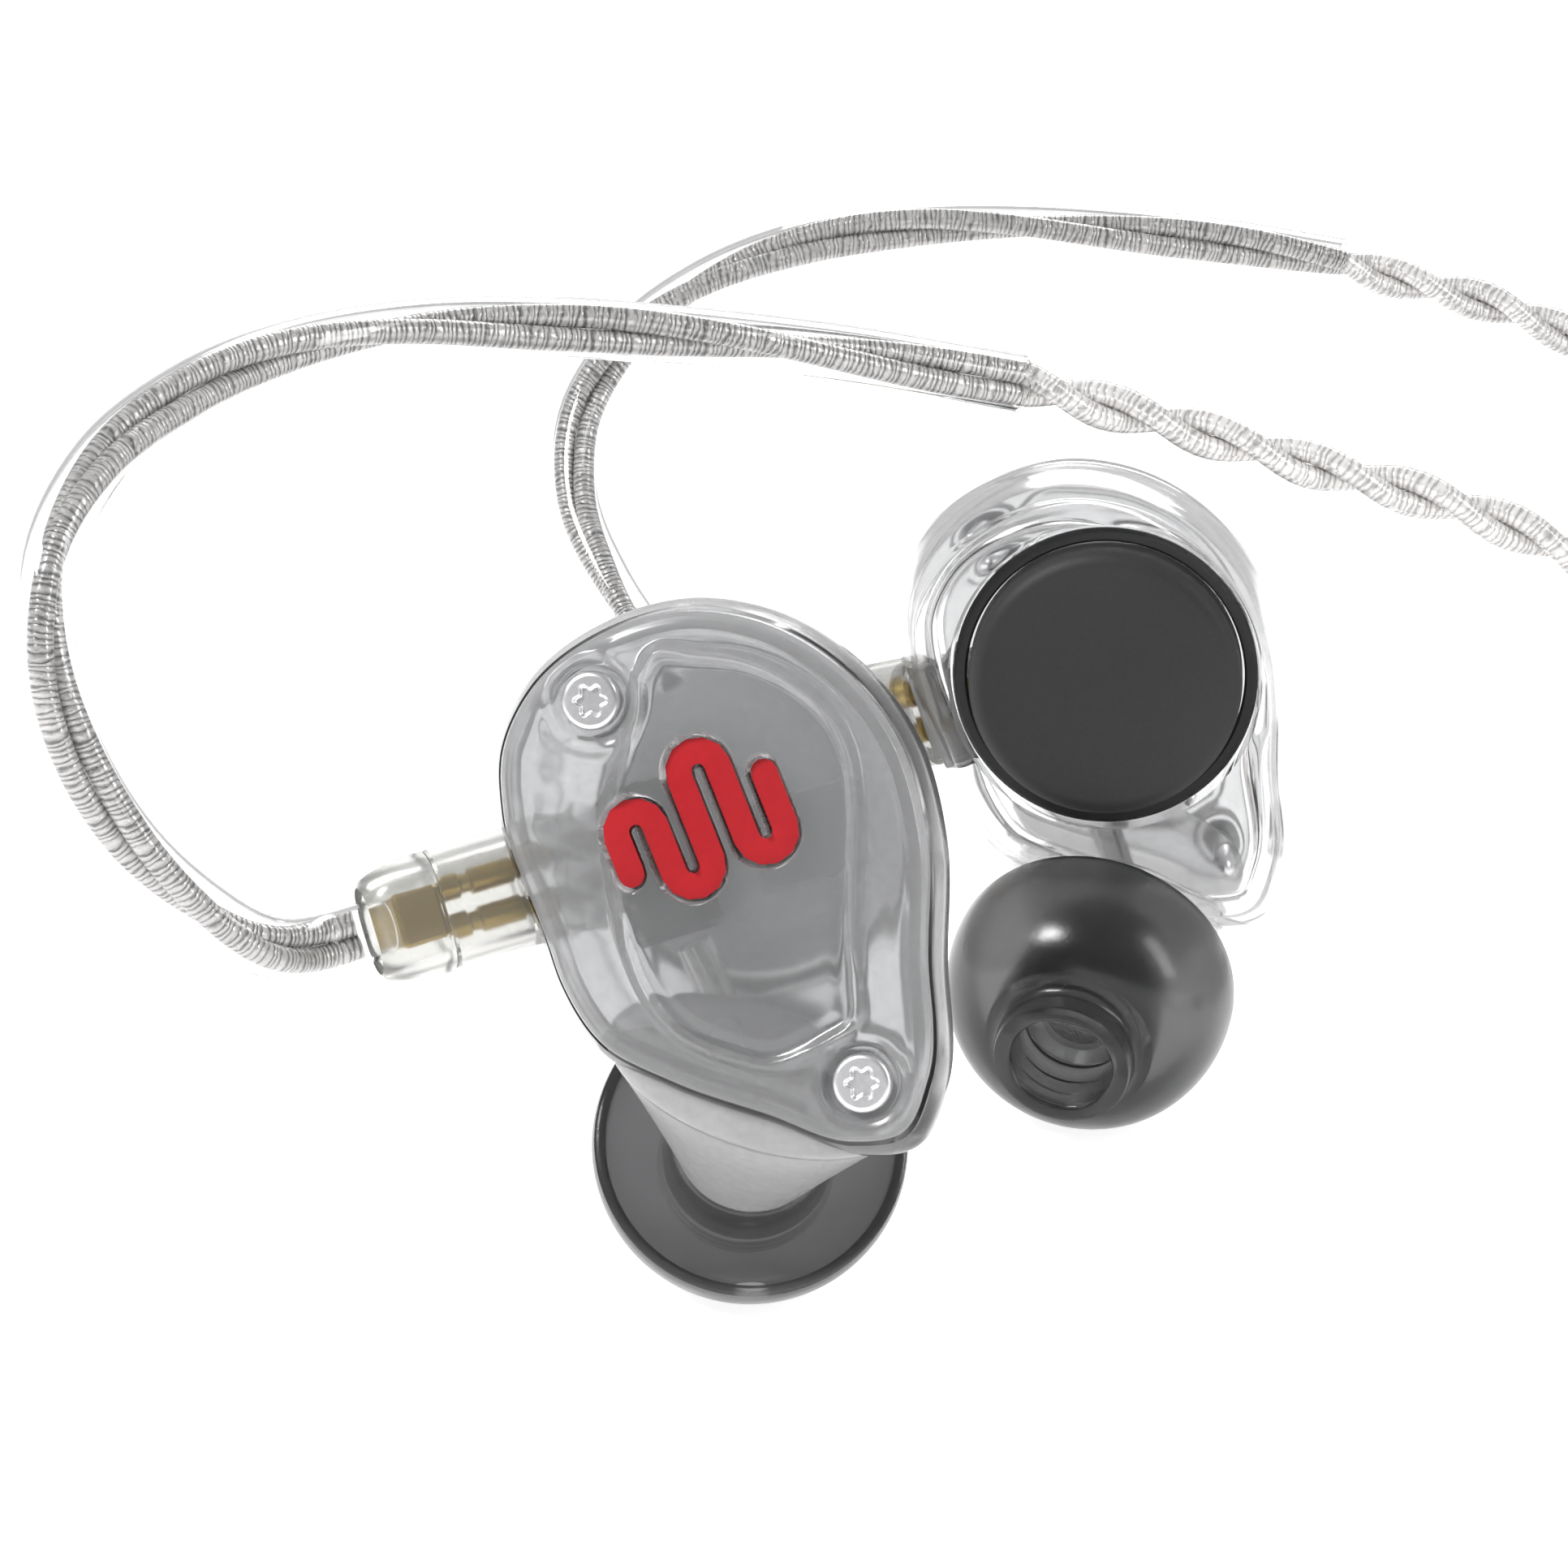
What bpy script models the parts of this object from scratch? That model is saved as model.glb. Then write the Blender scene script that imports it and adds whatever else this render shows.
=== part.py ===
"""In-ear monitors: two clear earpieces on a detachable, twisted, ear-hook cable.

Every earpiece is drawn once, in its own frame in millimetres: x to the right and y up in the plane
of the faceplate, z out of the faceplate, away from the ear.  The left earpiece is that drawing
turned into place, the right one is its mirror image.  The world is in metres, z up, with the
earpieces standing on their ear tips at z = 0.
"""
import math

import bmesh
import bpy
import numpy as np
from mathutils import Euler, Matrix, Vector

MM = 0.001
COLLECTION = "in_ear_monitors"
CLEARANCE = 0.10            # between pieces that fit into each other
HAIR = 0.05                 # between halves that are glued or screwed face to face

# ---- where each earpiece's frame stands, in millimetres and degrees about x, y and z ----------
LEFT_PLACE = (-1.940, -29.109, 20.510)
LEFT_TURN = (76.125, -4.064, -7.992)
RIGHT_PLACE = (15.651, 12.035, 18.230)
RIGHT_TURN = (90.564, -4.156, -4.802)

# ---- earpiece shell --------------------------------------------------------------------------
BODY_WIDTH = 17.9
BODY_HEIGHT = 22.5
BODY_CENTRE = (-0.30, -0.20)
WALL = 0.95
RIM_Z = -1.45               # parting plane of shell and faceplate
SHELL_DEPTH = 7.1           # from the parting plane to the ear side
# Outline, anticlockwise from the crown, in half widths and half heights from BODY_CENTRE.
BODY_OUTLINE = [(-0.08, 1.00), (-0.47, 0.93), (-0.82, 0.74), (-0.985, 0.49), (-0.99, 0.27),
                (-0.80, -0.22), (-0.74, -0.37), (-0.56, -0.60), (-0.24, -0.745), (0.22, -0.88),
                (0.60, -0.985), (0.84, -0.955), (0.965, -0.76), (0.985, -0.30), (1.00, 0.12),
                (0.88, 0.50), (0.64, 0.76), (0.26, 0.95)]
# Rings of the shell: share of its depth, and size of the outline there.
BODY_RINGS = [(0.00, 0.960), (0.10, 0.988), (0.30, 1.000), (0.55, 0.975), (0.78, 0.885),
              (0.93, 0.740), (1.00, 0.520)]
OUTLINE_POINTS = 32


def on_body(across, up):
    """Point of the faceplate's plane, in half widths and half heights from the body's centre."""
    return (BODY_CENTRE[0] + across * BODY_WIDTH / 2, BODY_CENTRE[1] + up * BODY_HEIGHT / 2)


# ---- faceplate -------------------------------------------------------------------------------
FACE_SIZE = 0.945           # outline of the faceplate against that of the body
# Steps of its outer surface: inset from the edge, height over the parting plane.
FACE_STEPS = [(0.00, 0.35), (0.12, 0.62), (0.45, 0.82), (1.15, 0.92), (1.60, 1.20), (1.90, 1.40)]
PLATEAU = 1.45              # height of the raised field over the parting plane
PLATEAU_INSET = 2.2

# ---- screws ----------------------------------------------------------------------------------
SCREW_HEAD = 2.35
SCREW_HEAD_HEIGHT = 0.65
SCREW_SHANK = 1.2
SCREW_LENGTH = 4.2
SCREW_STAR = 0.62           # outer radius of the six-lobed drive
SCREW_STAR_DEPTH = 0.40
SCREW_PLACES = {"upper": on_body(-0.508, 0.649), "lower": on_body(0.637, -0.711)}
SCREW_WELL = 3.0            # well in the faceplate around each head
SCREW_SEAT = 0.40           # plate left under a head
BOSS_DIAMETER = 3.2
BOSS_DEPTH = 5.0

# ---- mark on the faceplate: one winding stroke, like a sound wave ----------------------------
MARK_CENTRE = on_body(-0.050, 0.209)
MARK_PITCH = 1.60           # between its upright runs
MARK_RUNS = [(-0.9, 0.6), (0.6, -1.5), (-1.5, 1.9), (1.9, -1.3), (-1.3, 0.9)]
MARK_STROKE = 1.05
MARK_TILT = 20.0
MARK_SINK = 0.40            # how far the inlay lies below the raised field
MARK_DEPTH = 0.50           # how thick the inlay is

# ---- driver, board and sound path ------------------------------------------------------------
DRIVER_CENTRE = on_body(0.084, 0.196)
DRIVER_DIAMETER = 12.4
DRIVER_FACE_Z = -9.55
CAP_DEPTH = 2.3
CAP_EDGE = 0.8
MAGNET_DIAMETER = 9.2
MAGNET_DEPTH = 2.1
RING_DIAMETER = 13.8
RING_DEPTH = 0.45
RING_STEP = 1.55            # from the driver's face to the ring
ARMATURE_SIZE = (3.5, 6.3, 2.2)
ARMATURE_CENTRE = (*on_body(-0.274, 0.076), -2.95)
BOARD_SIZE = (4.6, 3.6, 0.8)
BOARD_CENTRE = (*on_body(0.402, 0.151), -3.4)
BLOCK_TILT = 15.0           # of the armature driver and the board, in the faceplate's plane
SOUND_TUBE = 1.5
SOUND_TUBE_WALL = 0.3

# ---- nozzle and ear tip, along the nozzle's axis from the plane of the tip's rim --------------
TIP_RIM = (*on_body(-0.046, -0.985), -10.5)
NOZZLE_AXIS = (-0.204, -0.276, -0.939)
NOZZLE_DIAMETER = 5.24
NOZZLE_LIP = 0.12           # how far its lip stands proud
NOZZLE_BORE = 3.5
NOZZLE_END = 3.6
NOZZLE_ROOT = 6.4           # diameter of the shell where the tip stops
NOZZLE_SHOULDER = -1.30
COWL_CENTRE = (*on_body(0.134, -0.693), -2.70)
COWL_SPAN = 6.2             # half length of the cowl where it leaves the shell
COWL_DROP = 2.9             # half width of the cowl there
COWL_TILT = -19.0
MESH_DEPTH = 0.3
MESH_INSET = 0.35
TIP_DIAMETER = 13.1
TIP_LENGTH = 7.3
TIP_DOME = 5.9              # where the dome meets the core
TIP_WAIST = 1.0             # where the skirt is widest
TIP_NOSE = 6.3
TIP_BORE = 4.6
TIP_CORE = 6.9
TIP_SKIRT = 0.55

# ---- connector: socket in the earpiece, plug on the cable; lengths run along the plug's axis --
SOCKET_PLACE = (*on_body(-0.877, 0.0044), -4.25)
PLUG_AXIS = (-0.885, -0.235, 0.402)
PLUG_WIDTH = 5.0
PLUG_HEIGHT = 4.1
PLUG_CORNER = 1.5
PLUG_WALL = 0.7
PLUG_SEAT = 0.6             # how far the barrel sits in the shell's pocket
BARREL_END = 4.1
CAP_END = 7.0
PIN_DIAMETER = 0.95
PIN_PITCH = 1.75
PIN_REACH = 2.2             # how far the pins stand out of the barrel
PIN_END = 4.0
SOCKET_LENGTH = 2.3
SOCKET_WIDTH = 4.4
SOCKET_HEIGHT = 3.2
FLANGE_WIDTH = 5.0
FLANGE_HEIGHT = 3.7
FLANGE_START = 0.6
FLANGE_LENGTH = 1.0
SOCKET_BOSS_WALL = 0.75
CRIMP_SIZE = (2.3, 1.7, 1.8)

# ---- ear guides and cable --------------------------------------------------------------------
GUIDE_DIAMETER = 2.5
GUIDE_WALL = 0.28
GUIDE_START = 6.1
GUIDE_WIRES = 1.55
GUIDE_STEP = 4.5
BRANCH_DIAMETER = 2.1
MAIN_DIAMETER = 2.55
CORD_GAP = 0.3
CORD_SIDES = 2              # bevel resolution of the cords
LEFT_GUIDE_ROUTE = [(-19.85, -29.36, 17.9), (-22.25, -30.55, 19.9), (-24.45, -31.55, 22.6),
                    (-26.25, -31.86, 26.0), (-27.25, -31.66, 29.4), (-27.35, -30.16, 33.3),
                    (-25.85, -26.86, 36.5), (-23.05, -22.86, 38.4), (-19.05, -18.36, 39.4),
                    (-13.95, -15.05, 39.7), (-9.04, -13.05, 39.4), (-3.54, -11.36, 38.7),
                    (2.96, -8.86, 37.5), (10.76, -6.26, 35.7)]
RIGHT_GUIDE_ROUTE = [(-2.65, 14.54, 15.5), (-5.45, 17.75, 17.9), (-7.84, 20.84, 20.7),
                     (-9.45, 23.45, 24.1), (-9.24, 25.64, 27.9), (-6.95, 27.34, 31.3),
                     (-3.04, 28.64, 34.0), (1.66, 29.45, 35.7), (6.96, 30.14, 36.4),
                     (12.55, 30.75, 36.4), (16.95, 31.04, 36.1), (22.75, 31.45, 35.4),
                     (28.45, 31.85, 34.4)]

# ---- coil of spare cable, beside the earpieces ------------------------------------------------
COIL_CENTRE = (61.0, 14.0)
MAIN_COIL_RADIUS = 14.3     # to the middle of its turns
MAIN_COIL_COLUMNS = 4
MAIN_COIL_LAYERS = 2
BRANCH_COIL_RADIUS = 12.0
BRANCH_COIL_COLUMNS = 3
COIL_SLACK = 0.1            # room around the turns in each coil's solid
LEFT_BRANCH_ROUTE = [(16.85, -5.36, 33.9), (23.95, -4.76, 31.7), (30.95, -4.25, 29.5),
                     (37.55, -3.65, 26.3), (43.75, -1.96, 22.0), (49.55, 1.25, 17.8),
                     (54.4, 6.2, 14.0), (58.9, 8.7, 10.8), (63.6, 10.5, 8.3),
                     (66.9, 12.5, 7.3), (68.2, 15.2, 7.15)]
RIGHT_BRANCH_ROUTE = [(32.16, 32.25, 33.3), (36.35, 32.65, 32.1), (40.55, 32.85, 30.3),
                      (44.75, 32.35, 27.2), (48.35, 30.25, 23.4), (50.85, 26.84, 18.8),
                      (52.16, 22.84, 14.9), (52.5, 19.4, 12.0)]
LEFT_TAIL_ROUTE = [(75.0, 23.1, 7.15), (73.3, 28.3, 7.2), (70.6, 33.6, 6.4), (66.9, 37.6, 4.2),
                   (63.6, 38.8, 3.1), (60.9, 38.9, 2.9)]
RIGHT_TAIL_ROUTE = [(74.0, 24.3, 9.45), (71.9, 29.1, 9.6), (69.0, 32.9, 8.6), (66.2, 35.2, 5.9),
                    (63.5, 36.0, 3.8), (60.9, 36.1, 3.2)]

# ---- splitter, tie and plug ------------------------------------------------------------------
SPLITTER_START = (60.4, 37.5, 2.9)
SPLITTER_AXIS = (-1.0, 0.0, -0.02)
SPLITTER_LENGTH = 9.0
SPLITTER_DIAMETER = 5.4
MAIN_START_ROUTE = [(50.5, 37.5, 2.65), (48.3, 37.3, 2.4), (46.6, 35.7, 2.1), (45.4, 32.5, 1.9),
                    (44.3, 28.8, 1.9), (43.2, 25.6, 2.0)]
TIE_WIDTH = 5.0
TIE_THICKNESS = 0.6
TIE_ANGLE = -90.0
JACK_DIAMETER = 3.5
JACK_BARREL = 6.4
JACK_BARREL_LENGTH = 12.0
JACK_RELIEF_LENGTH = 6.0
JACK_RELIEF_DIAMETER = 4.2
JACK_BORE_DEPTH = 1.2       # the contact pin stands this deep in the barrel
JACK_BORE_GAP = 0.1
JACK_X = 42.6
JACK_START_Y = -1.8
MAIN_END_ROUTE = [(42.8, 3.4, 4.3), (42.65, 1.0, 3.5), (42.6, -1.35, 3.25)]

COLOURS = {
    "clear_shell": ((0.80, 0.81, 0.82), 0.12, 0.0), "face_plate": ((0.55, 0.56, 0.57), 0.30, 0.0),
    "inlay_red": ((0.55, 0.02, 0.03), 0.35, 0.0), "screw_steel": ((0.80, 0.80, 0.80), 0.22, 1.0),
    "driver_black": ((0.03, 0.03, 0.03), 0.55, 0.0), "magnet_steel": ((0.45, 0.45, 0.46), 0.35, 1.0),
    "armature_can": ((0.10, 0.10, 0.11), 0.35, 0.6), "board_green": ((0.03, 0.10, 0.06), 0.45, 0.0),
    "frosted": ((0.72, 0.73, 0.72), 0.35, 0.0), "tip_silicone": ((0.04, 0.04, 0.04), 0.50, 0.0),
    "mesh_steel": ((0.60, 0.60, 0.60), 0.30, 1.0), "gold": ((0.78, 0.60, 0.25), 0.25, 1.0),
    "wire_silver": ((0.80, 0.79, 0.78), 0.30, 0.7), "plug_black": ((0.04, 0.04, 0.04), 0.40, 0.0),
}


# ---- small geometry helpers ------------------------------------------------------------------
def unit(vector):
    """The vector at length one."""
    return Vector(vector).normalized()


def frame_along(origin, axis, side=(0.0, 0.0, 1.0)):
    """Matrix with its origin at a point and z along an axis; its y leans towards side."""
    z_axis = unit(axis)
    x_axis = Vector(side).cross(z_axis).normalized()
    y_axis = z_axis.cross(x_axis)
    turn = Matrix((x_axis, y_axis, z_axis)).transposed().to_4x4()
    return Matrix.Translation(Vector(origin)) @ turn


def mesh_from(points, faces):
    """Mesh from an array of points and a list of faces."""
    mesh = bpy.data.meshes.new("drawing")
    mesh.from_pydata([tuple(float(c) for c in p) for p in points], [], faces)
    mesh.validate()
    return mesh


def loft(rings, closed=False):
    """Skin over rings of equal count, drawn anticlockwise and stacked upwards, with flat ends."""
    count = len(rings[0])
    faces = []
    spans = len(rings) if closed else len(rings) - 1
    for i in range(spans):
        low = i * count
        high = ((i + 1) % len(rings)) * count
        for j in range(count):
            k = (j + 1) % count
            faces.append((low + j, low + k, high + k, high + j))
    if not closed:
        faces.append(tuple(reversed(range(count))))
        faces.append(tuple(range((len(rings) - 1) * count, len(rings) * count)))
    return mesh_from(np.vstack(rings), faces)


def evaluated_mesh(obj):
    """Mesh of an object with its modifiers applied; the object is removed."""
    depsgraph = bpy.context.evaluated_depsgraph_get()
    depsgraph.update()
    mesh = bpy.data.meshes.new_from_object(obj.evaluated_get(depsgraph))
    bpy.data.objects.remove(obj)
    return mesh


def temporary(mesh):
    """Object that holds a mesh while modifiers work on it."""
    obj = bpy.data.objects.new("working", mesh)
    bpy.context.scene.collection.objects.link(obj)
    return obj


def merged(mesh, distance=1e-5):
    """Mesh with its doubled points merged."""
    bm = bmesh.new()
    bm.from_mesh(mesh)
    bmesh.ops.remove_doubles(bm, verts=bm.verts, dist=distance)
    bm.to_mesh(mesh)
    bm.free()
    return mesh


def combine(mesh, other, operation):
    """Exact Boolean of two closed meshes."""
    target = temporary(mesh)
    cutter = temporary(other)
    modifier = target.modifiers.new("combine", "BOOLEAN")
    modifier.operation = operation
    modifier.object = cutter
    modifier.solver = "EXACT"
    result = evaluated_mesh(target)
    bpy.data.objects.remove(cutter)
    return merged(result)


def cut(mesh, *others):
    """Mesh less the others."""
    for other in others:
        mesh = combine(mesh, other, "DIFFERENCE")
    return mesh


def joined(mesh, *others):
    """Union of meshes."""
    for other in others:
        mesh = combine(mesh, other, "UNION")
    return mesh


def turned(profile, matrix=None, steps=24):
    """Solid turned from a closed profile of (radius, height), given down its outer side first."""
    count = len(profile)
    mesh = bpy.data.meshes.new("profile")
    edges = [(i, (i + 1) % count) for i in range(count)]
    if profile[0][0] == 0.0 and profile[-1][0] == 0.0:
        edges = edges[:-1]
    mesh.from_pydata([(r, 0.0, h) for r, h in profile], edges, [])
    obj = temporary(mesh)
    screw = obj.modifiers.new("turn", "SCREW")
    screw.axis = "Z"
    screw.steps = steps
    screw.render_steps = steps
    screw.use_merge_vertices = True
    screw.merge_threshold = 0.0001
    result = merged(evaluated_mesh(obj))
    if matrix is not None:
        result.transform(matrix)
    return result


def cylinder(diameter, low, high, matrix=None, steps=16):
    """Plain cylinder between two heights."""
    radius = diameter / 2
    return turned([(0.0, high), (radius, high), (radius, low), (0.0, low)], matrix, steps)


def rounded_box(size, edge, matrix=None):
    """Box with a small chamfer on every edge."""
    mesh = bpy.data.meshes.new("box")
    bm = bmesh.new()
    bmesh.ops.create_cube(bm, size=1.0)
    bmesh.ops.scale(bm, vec=Vector(size), verts=bm.verts)
    bm.to_mesh(mesh)
    bm.free()
    obj = temporary(mesh)
    bevel = obj.modifiers.new("edge", "BEVEL")
    bevel.width = edge
    bevel.segments = 1
    result = evaluated_mesh(obj)
    if matrix is not None:
        result.transform(matrix)
    return result


def rounded_section(width, height, corner, steps=3):
    """Points of a rounded rectangle, anticlockwise."""
    points = []
    for quarter in range(4):
        sign_x = (1, -1, -1, 1)[quarter]
        sign_y = (1, 1, -1, -1)[quarter]
        centre = (sign_x * (width / 2 - corner), sign_y * (height / 2 - corner))
        for i in range(steps + 1):
            angle = math.pi / 2 * (quarter + i / steps)
            points.append((centre[0] + corner * math.cos(angle), centre[1] + corner * math.sin(angle)))
    return np.array(points)


def at_height(section, height):
    """A flat section lifted to a height."""
    return np.column_stack([section, np.full(len(section), height)])


def bar(width, height, corner, low, high, matrix):
    """Straight bar of rounded rectangular section."""
    section = rounded_section(width, height, corner)
    mesh = loft([at_height(section, low), at_height(section, high)])
    mesh.transform(matrix)
    return mesh


def hermite(points, closed, samples):
    """Smooth curve through points: cubic spans whose slopes come from the neighbours."""
    points = np.asarray(points, dtype=float)
    count = len(points)
    if closed:
        before, after = np.roll(points, 1, axis=0), np.roll(points, -1, axis=0)
    else:
        before = np.vstack([points[:1], points[:-1]])
        after = np.vstack([points[1:], points[-1:]])
    step_in = np.linalg.norm(points - before, axis=1)[:, None] + 1e-12
    step_out = np.linalg.norm(after - points, axis=1)[:, None] + 1e-12
    slope = ((points - before) / step_in * step_out + (after - points) / step_out * step_in)
    slope = slope / (step_in + step_out)
    if not closed:
        slope[0] = (points[1] - points[0]) / step_out[0]
        slope[-1] = (points[-1] - points[-2]) / step_in[-1]
    spans = count if closed else count - 1
    t = np.linspace(0.0, 1.0, samples, endpoint=False)[:, None]
    curve = []
    for i in range(spans):
        j = (i + 1) % count
        length = np.linalg.norm(points[j] - points[i])
        curve.append((2 * t**3 - 3 * t**2 + 1) * points[i] + (t**3 - 2 * t**2 + t) * slope[i] * length
                     + (3 * t**2 - 2 * t**3) * points[j] + (t**3 - t**2) * slope[j] * length)
    if not closed:
        curve.append(points[-1:])
    return np.vstack(curve)


def evenly(curve, count, closed=False):
    """Points at equal distances along a dense curve."""
    if closed:
        curve = np.vstack([curve, curve[:1]])
    lengths = np.concatenate([[0.0], np.cumsum(np.linalg.norm(np.diff(curve, axis=0), axis=1))])
    stops = np.linspace(0.0, lengths[-1], count + 1 if closed else count)
    result = np.column_stack([np.interp(stops, lengths, curve[:, k]) for k in range(curve.shape[1])])
    return result[:-1] if closed else result


def smooth_route(points, step):
    """Points a step apart on a smooth curve through a route."""
    curve = hermite(points, False, 24)
    length = np.sum(np.linalg.norm(np.diff(curve, axis=0), axis=1))
    return evenly(curve, max(4, int(round(length / step)) + 1))


def shortened(points, length):
    """Path with both of its ends drawn in by a length."""
    result = np.array(points, dtype=float)
    first, last = result[1] - result[0], result[-2] - result[-1]
    result[0] += first / np.linalg.norm(first) * length
    result[-1] += last / np.linalg.norm(last) * length
    return result


def round_cord(points, diameter):
    """Closed round cord along points."""
    curve = bpy.data.curves.new("route", "CURVE")
    curve.dimensions = "3D"
    spline = curve.splines.new("POLY")
    spline.points.add(len(points) - 1)
    for knot, point in zip(spline.points, points):
        knot.co = (point[0], point[1], point[2], 1.0)
    curve.bevel_depth = diameter / 2
    curve.bevel_resolution = CORD_SIDES
    curve.use_fill_caps = True
    obj = bpy.data.objects.new("route", curve)
    bpy.context.scene.collection.objects.link(obj)
    return merged(evaluated_mesh(obj))


def hollow_tube(points, diameter, wall, sides=10):
    """Open-ended tube with a wall: an outer and an inner skin swept along points."""
    points = np.asarray(points, dtype=float)
    tangents = np.gradient(points, axis=0)
    tangents /= np.linalg.norm(tangents, axis=1)[:, None]
    side = np.cross(tangents[0], (0.0, 0.0, 1.0))
    rings = []
    angles = np.linspace(0.0, 2 * math.pi, sides, endpoint=False)
    for tangent, point in zip(tangents, points):
        side = side - tangent * np.dot(side, tangent)
        side /= np.linalg.norm(side)
        up = np.cross(tangent, side)
        circle = np.outer(np.cos(angles), side) + np.outer(np.sin(angles), up)
        rings.append((point, circle))
    outer = [point + circle * diameter / 2 for point, circle in rings]
    inner = [point + circle * (diameter / 2 - wall) for point, circle in reversed(rings)]
    return loft(outer + inner, closed=True)


# ---- outlines of the earpiece ----------------------------------------------------------------
def body_outline():
    """The shell's largest outline."""
    points = [(BODY_CENTRE[0] + x * BODY_WIDTH / 2, BODY_CENTRE[1] + y * BODY_HEIGHT / 2)
              for x, y in BODY_OUTLINE]
    return evenly(hermite(points, True, 12), OUTLINE_POINTS, closed=True)


def inset(outline, distance):
    """Outline moved inwards along its normals."""
    slope = np.roll(outline, -1, axis=0) - np.roll(outline, 1, axis=0)
    slope /= np.linalg.norm(slope, axis=1)[:, None]
    inward = np.column_stack([-slope[:, 1], slope[:, 0]])
    return outline + inward * distance


def towards_driver(outline, size):
    """Outline scaled towards the driver's axis."""
    centre = np.array(DRIVER_CENTRE)
    return centre + (outline - centre) * size


def face_outline():
    """Edge of the faceplate."""
    return towards_driver(body_outline(), FACE_SIZE)


def shell_block(wall):
    """Solid of the shell's outer form, or of its cavity when a wall is taken off."""
    outline = inset(body_outline(), wall)
    rings = []
    for share, size in reversed(BODY_RINGS):
        height = RIM_Z - share * (SHELL_DEPTH - wall)
        rings.append(at_height(towards_driver(outline, size), height))
    if wall:
        rings.append(at_height(towards_driver(outline, BODY_RINGS[0][1]), RIM_Z + 1.0))
    return loft(rings)


def nozzle_frame():
    """Frame on the nozzle's axis, its origin in the plane of the ear tip's rim."""
    return frame_along(TIP_RIM, NOZZLE_AXIS)


def plug_frame():
    """Frame on the plug's axis at the shell, z out of the shell."""
    return frame_along(SOCKET_PLACE, PLUG_AXIS)


def cowl():
    """Skin from the shell's lower edge to the round root of the nozzle."""
    tilt = math.radians(COWL_TILT)
    along = np.array([math.cos(tilt), math.sin(tilt), 0.0])
    across = np.array([-math.sin(tilt), math.cos(tilt), 0.0])
    axis = np.array(unit(NOZZLE_AXIS))
    along_end = along - axis * np.dot(along, axis)
    along_end /= np.linalg.norm(along_end)
    across_end = np.cross(along_end, axis)
    angles = np.linspace(0.0, 2 * math.pi, 20, endpoint=False)
    start = np.array(COWL_CENTRE) + COWL_SPAN * np.outer(np.cos(angles), along)
    start = start + COWL_DROP * np.outer(np.sin(angles), across)
    end_centre = np.array(TIP_RIM) + axis * NOZZLE_SHOULDER
    end = end_centre + NOZZLE_ROOT / 2 * (np.outer(np.cos(angles), along_end)
                                          + np.outer(np.sin(angles), across_end))
    rings = []
    for share in (1.0, 0.75, 0.5, 0.25, 0.0):
        ease = share * share * (3 - 2 * share) * 0.5 + share * 0.5
        rings.append(start * (1 - ease) + end * ease)
    return loft(rings)


def nozzle():
    """Nozzle tube with its lip, on the cowl."""
    radius = NOZZLE_DIAMETER / 2
    lip = radius + NOZZLE_LIP
    profile = [(0.0, NOZZLE_END), (lip - 0.2, NOZZLE_END), (lip, NOZZLE_END - 0.2),
               (lip, NOZZLE_END - 0.6), (radius, NOZZLE_END - 0.9),
               (radius, NOZZLE_SHOULDER - 1.0), (0.0, NOZZLE_SHOULDER - 1.0)]
    return turned(profile, nozzle_frame(), 18)


def screw_column(place):
    """Column in the shell that a screw bites into."""
    matrix = Matrix.Translation((place[0], place[1], 0.0))
    return cylinder(BOSS_DIAMETER, RIM_Z - BOSS_DEPTH, RIM_Z, matrix, 12)


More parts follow.
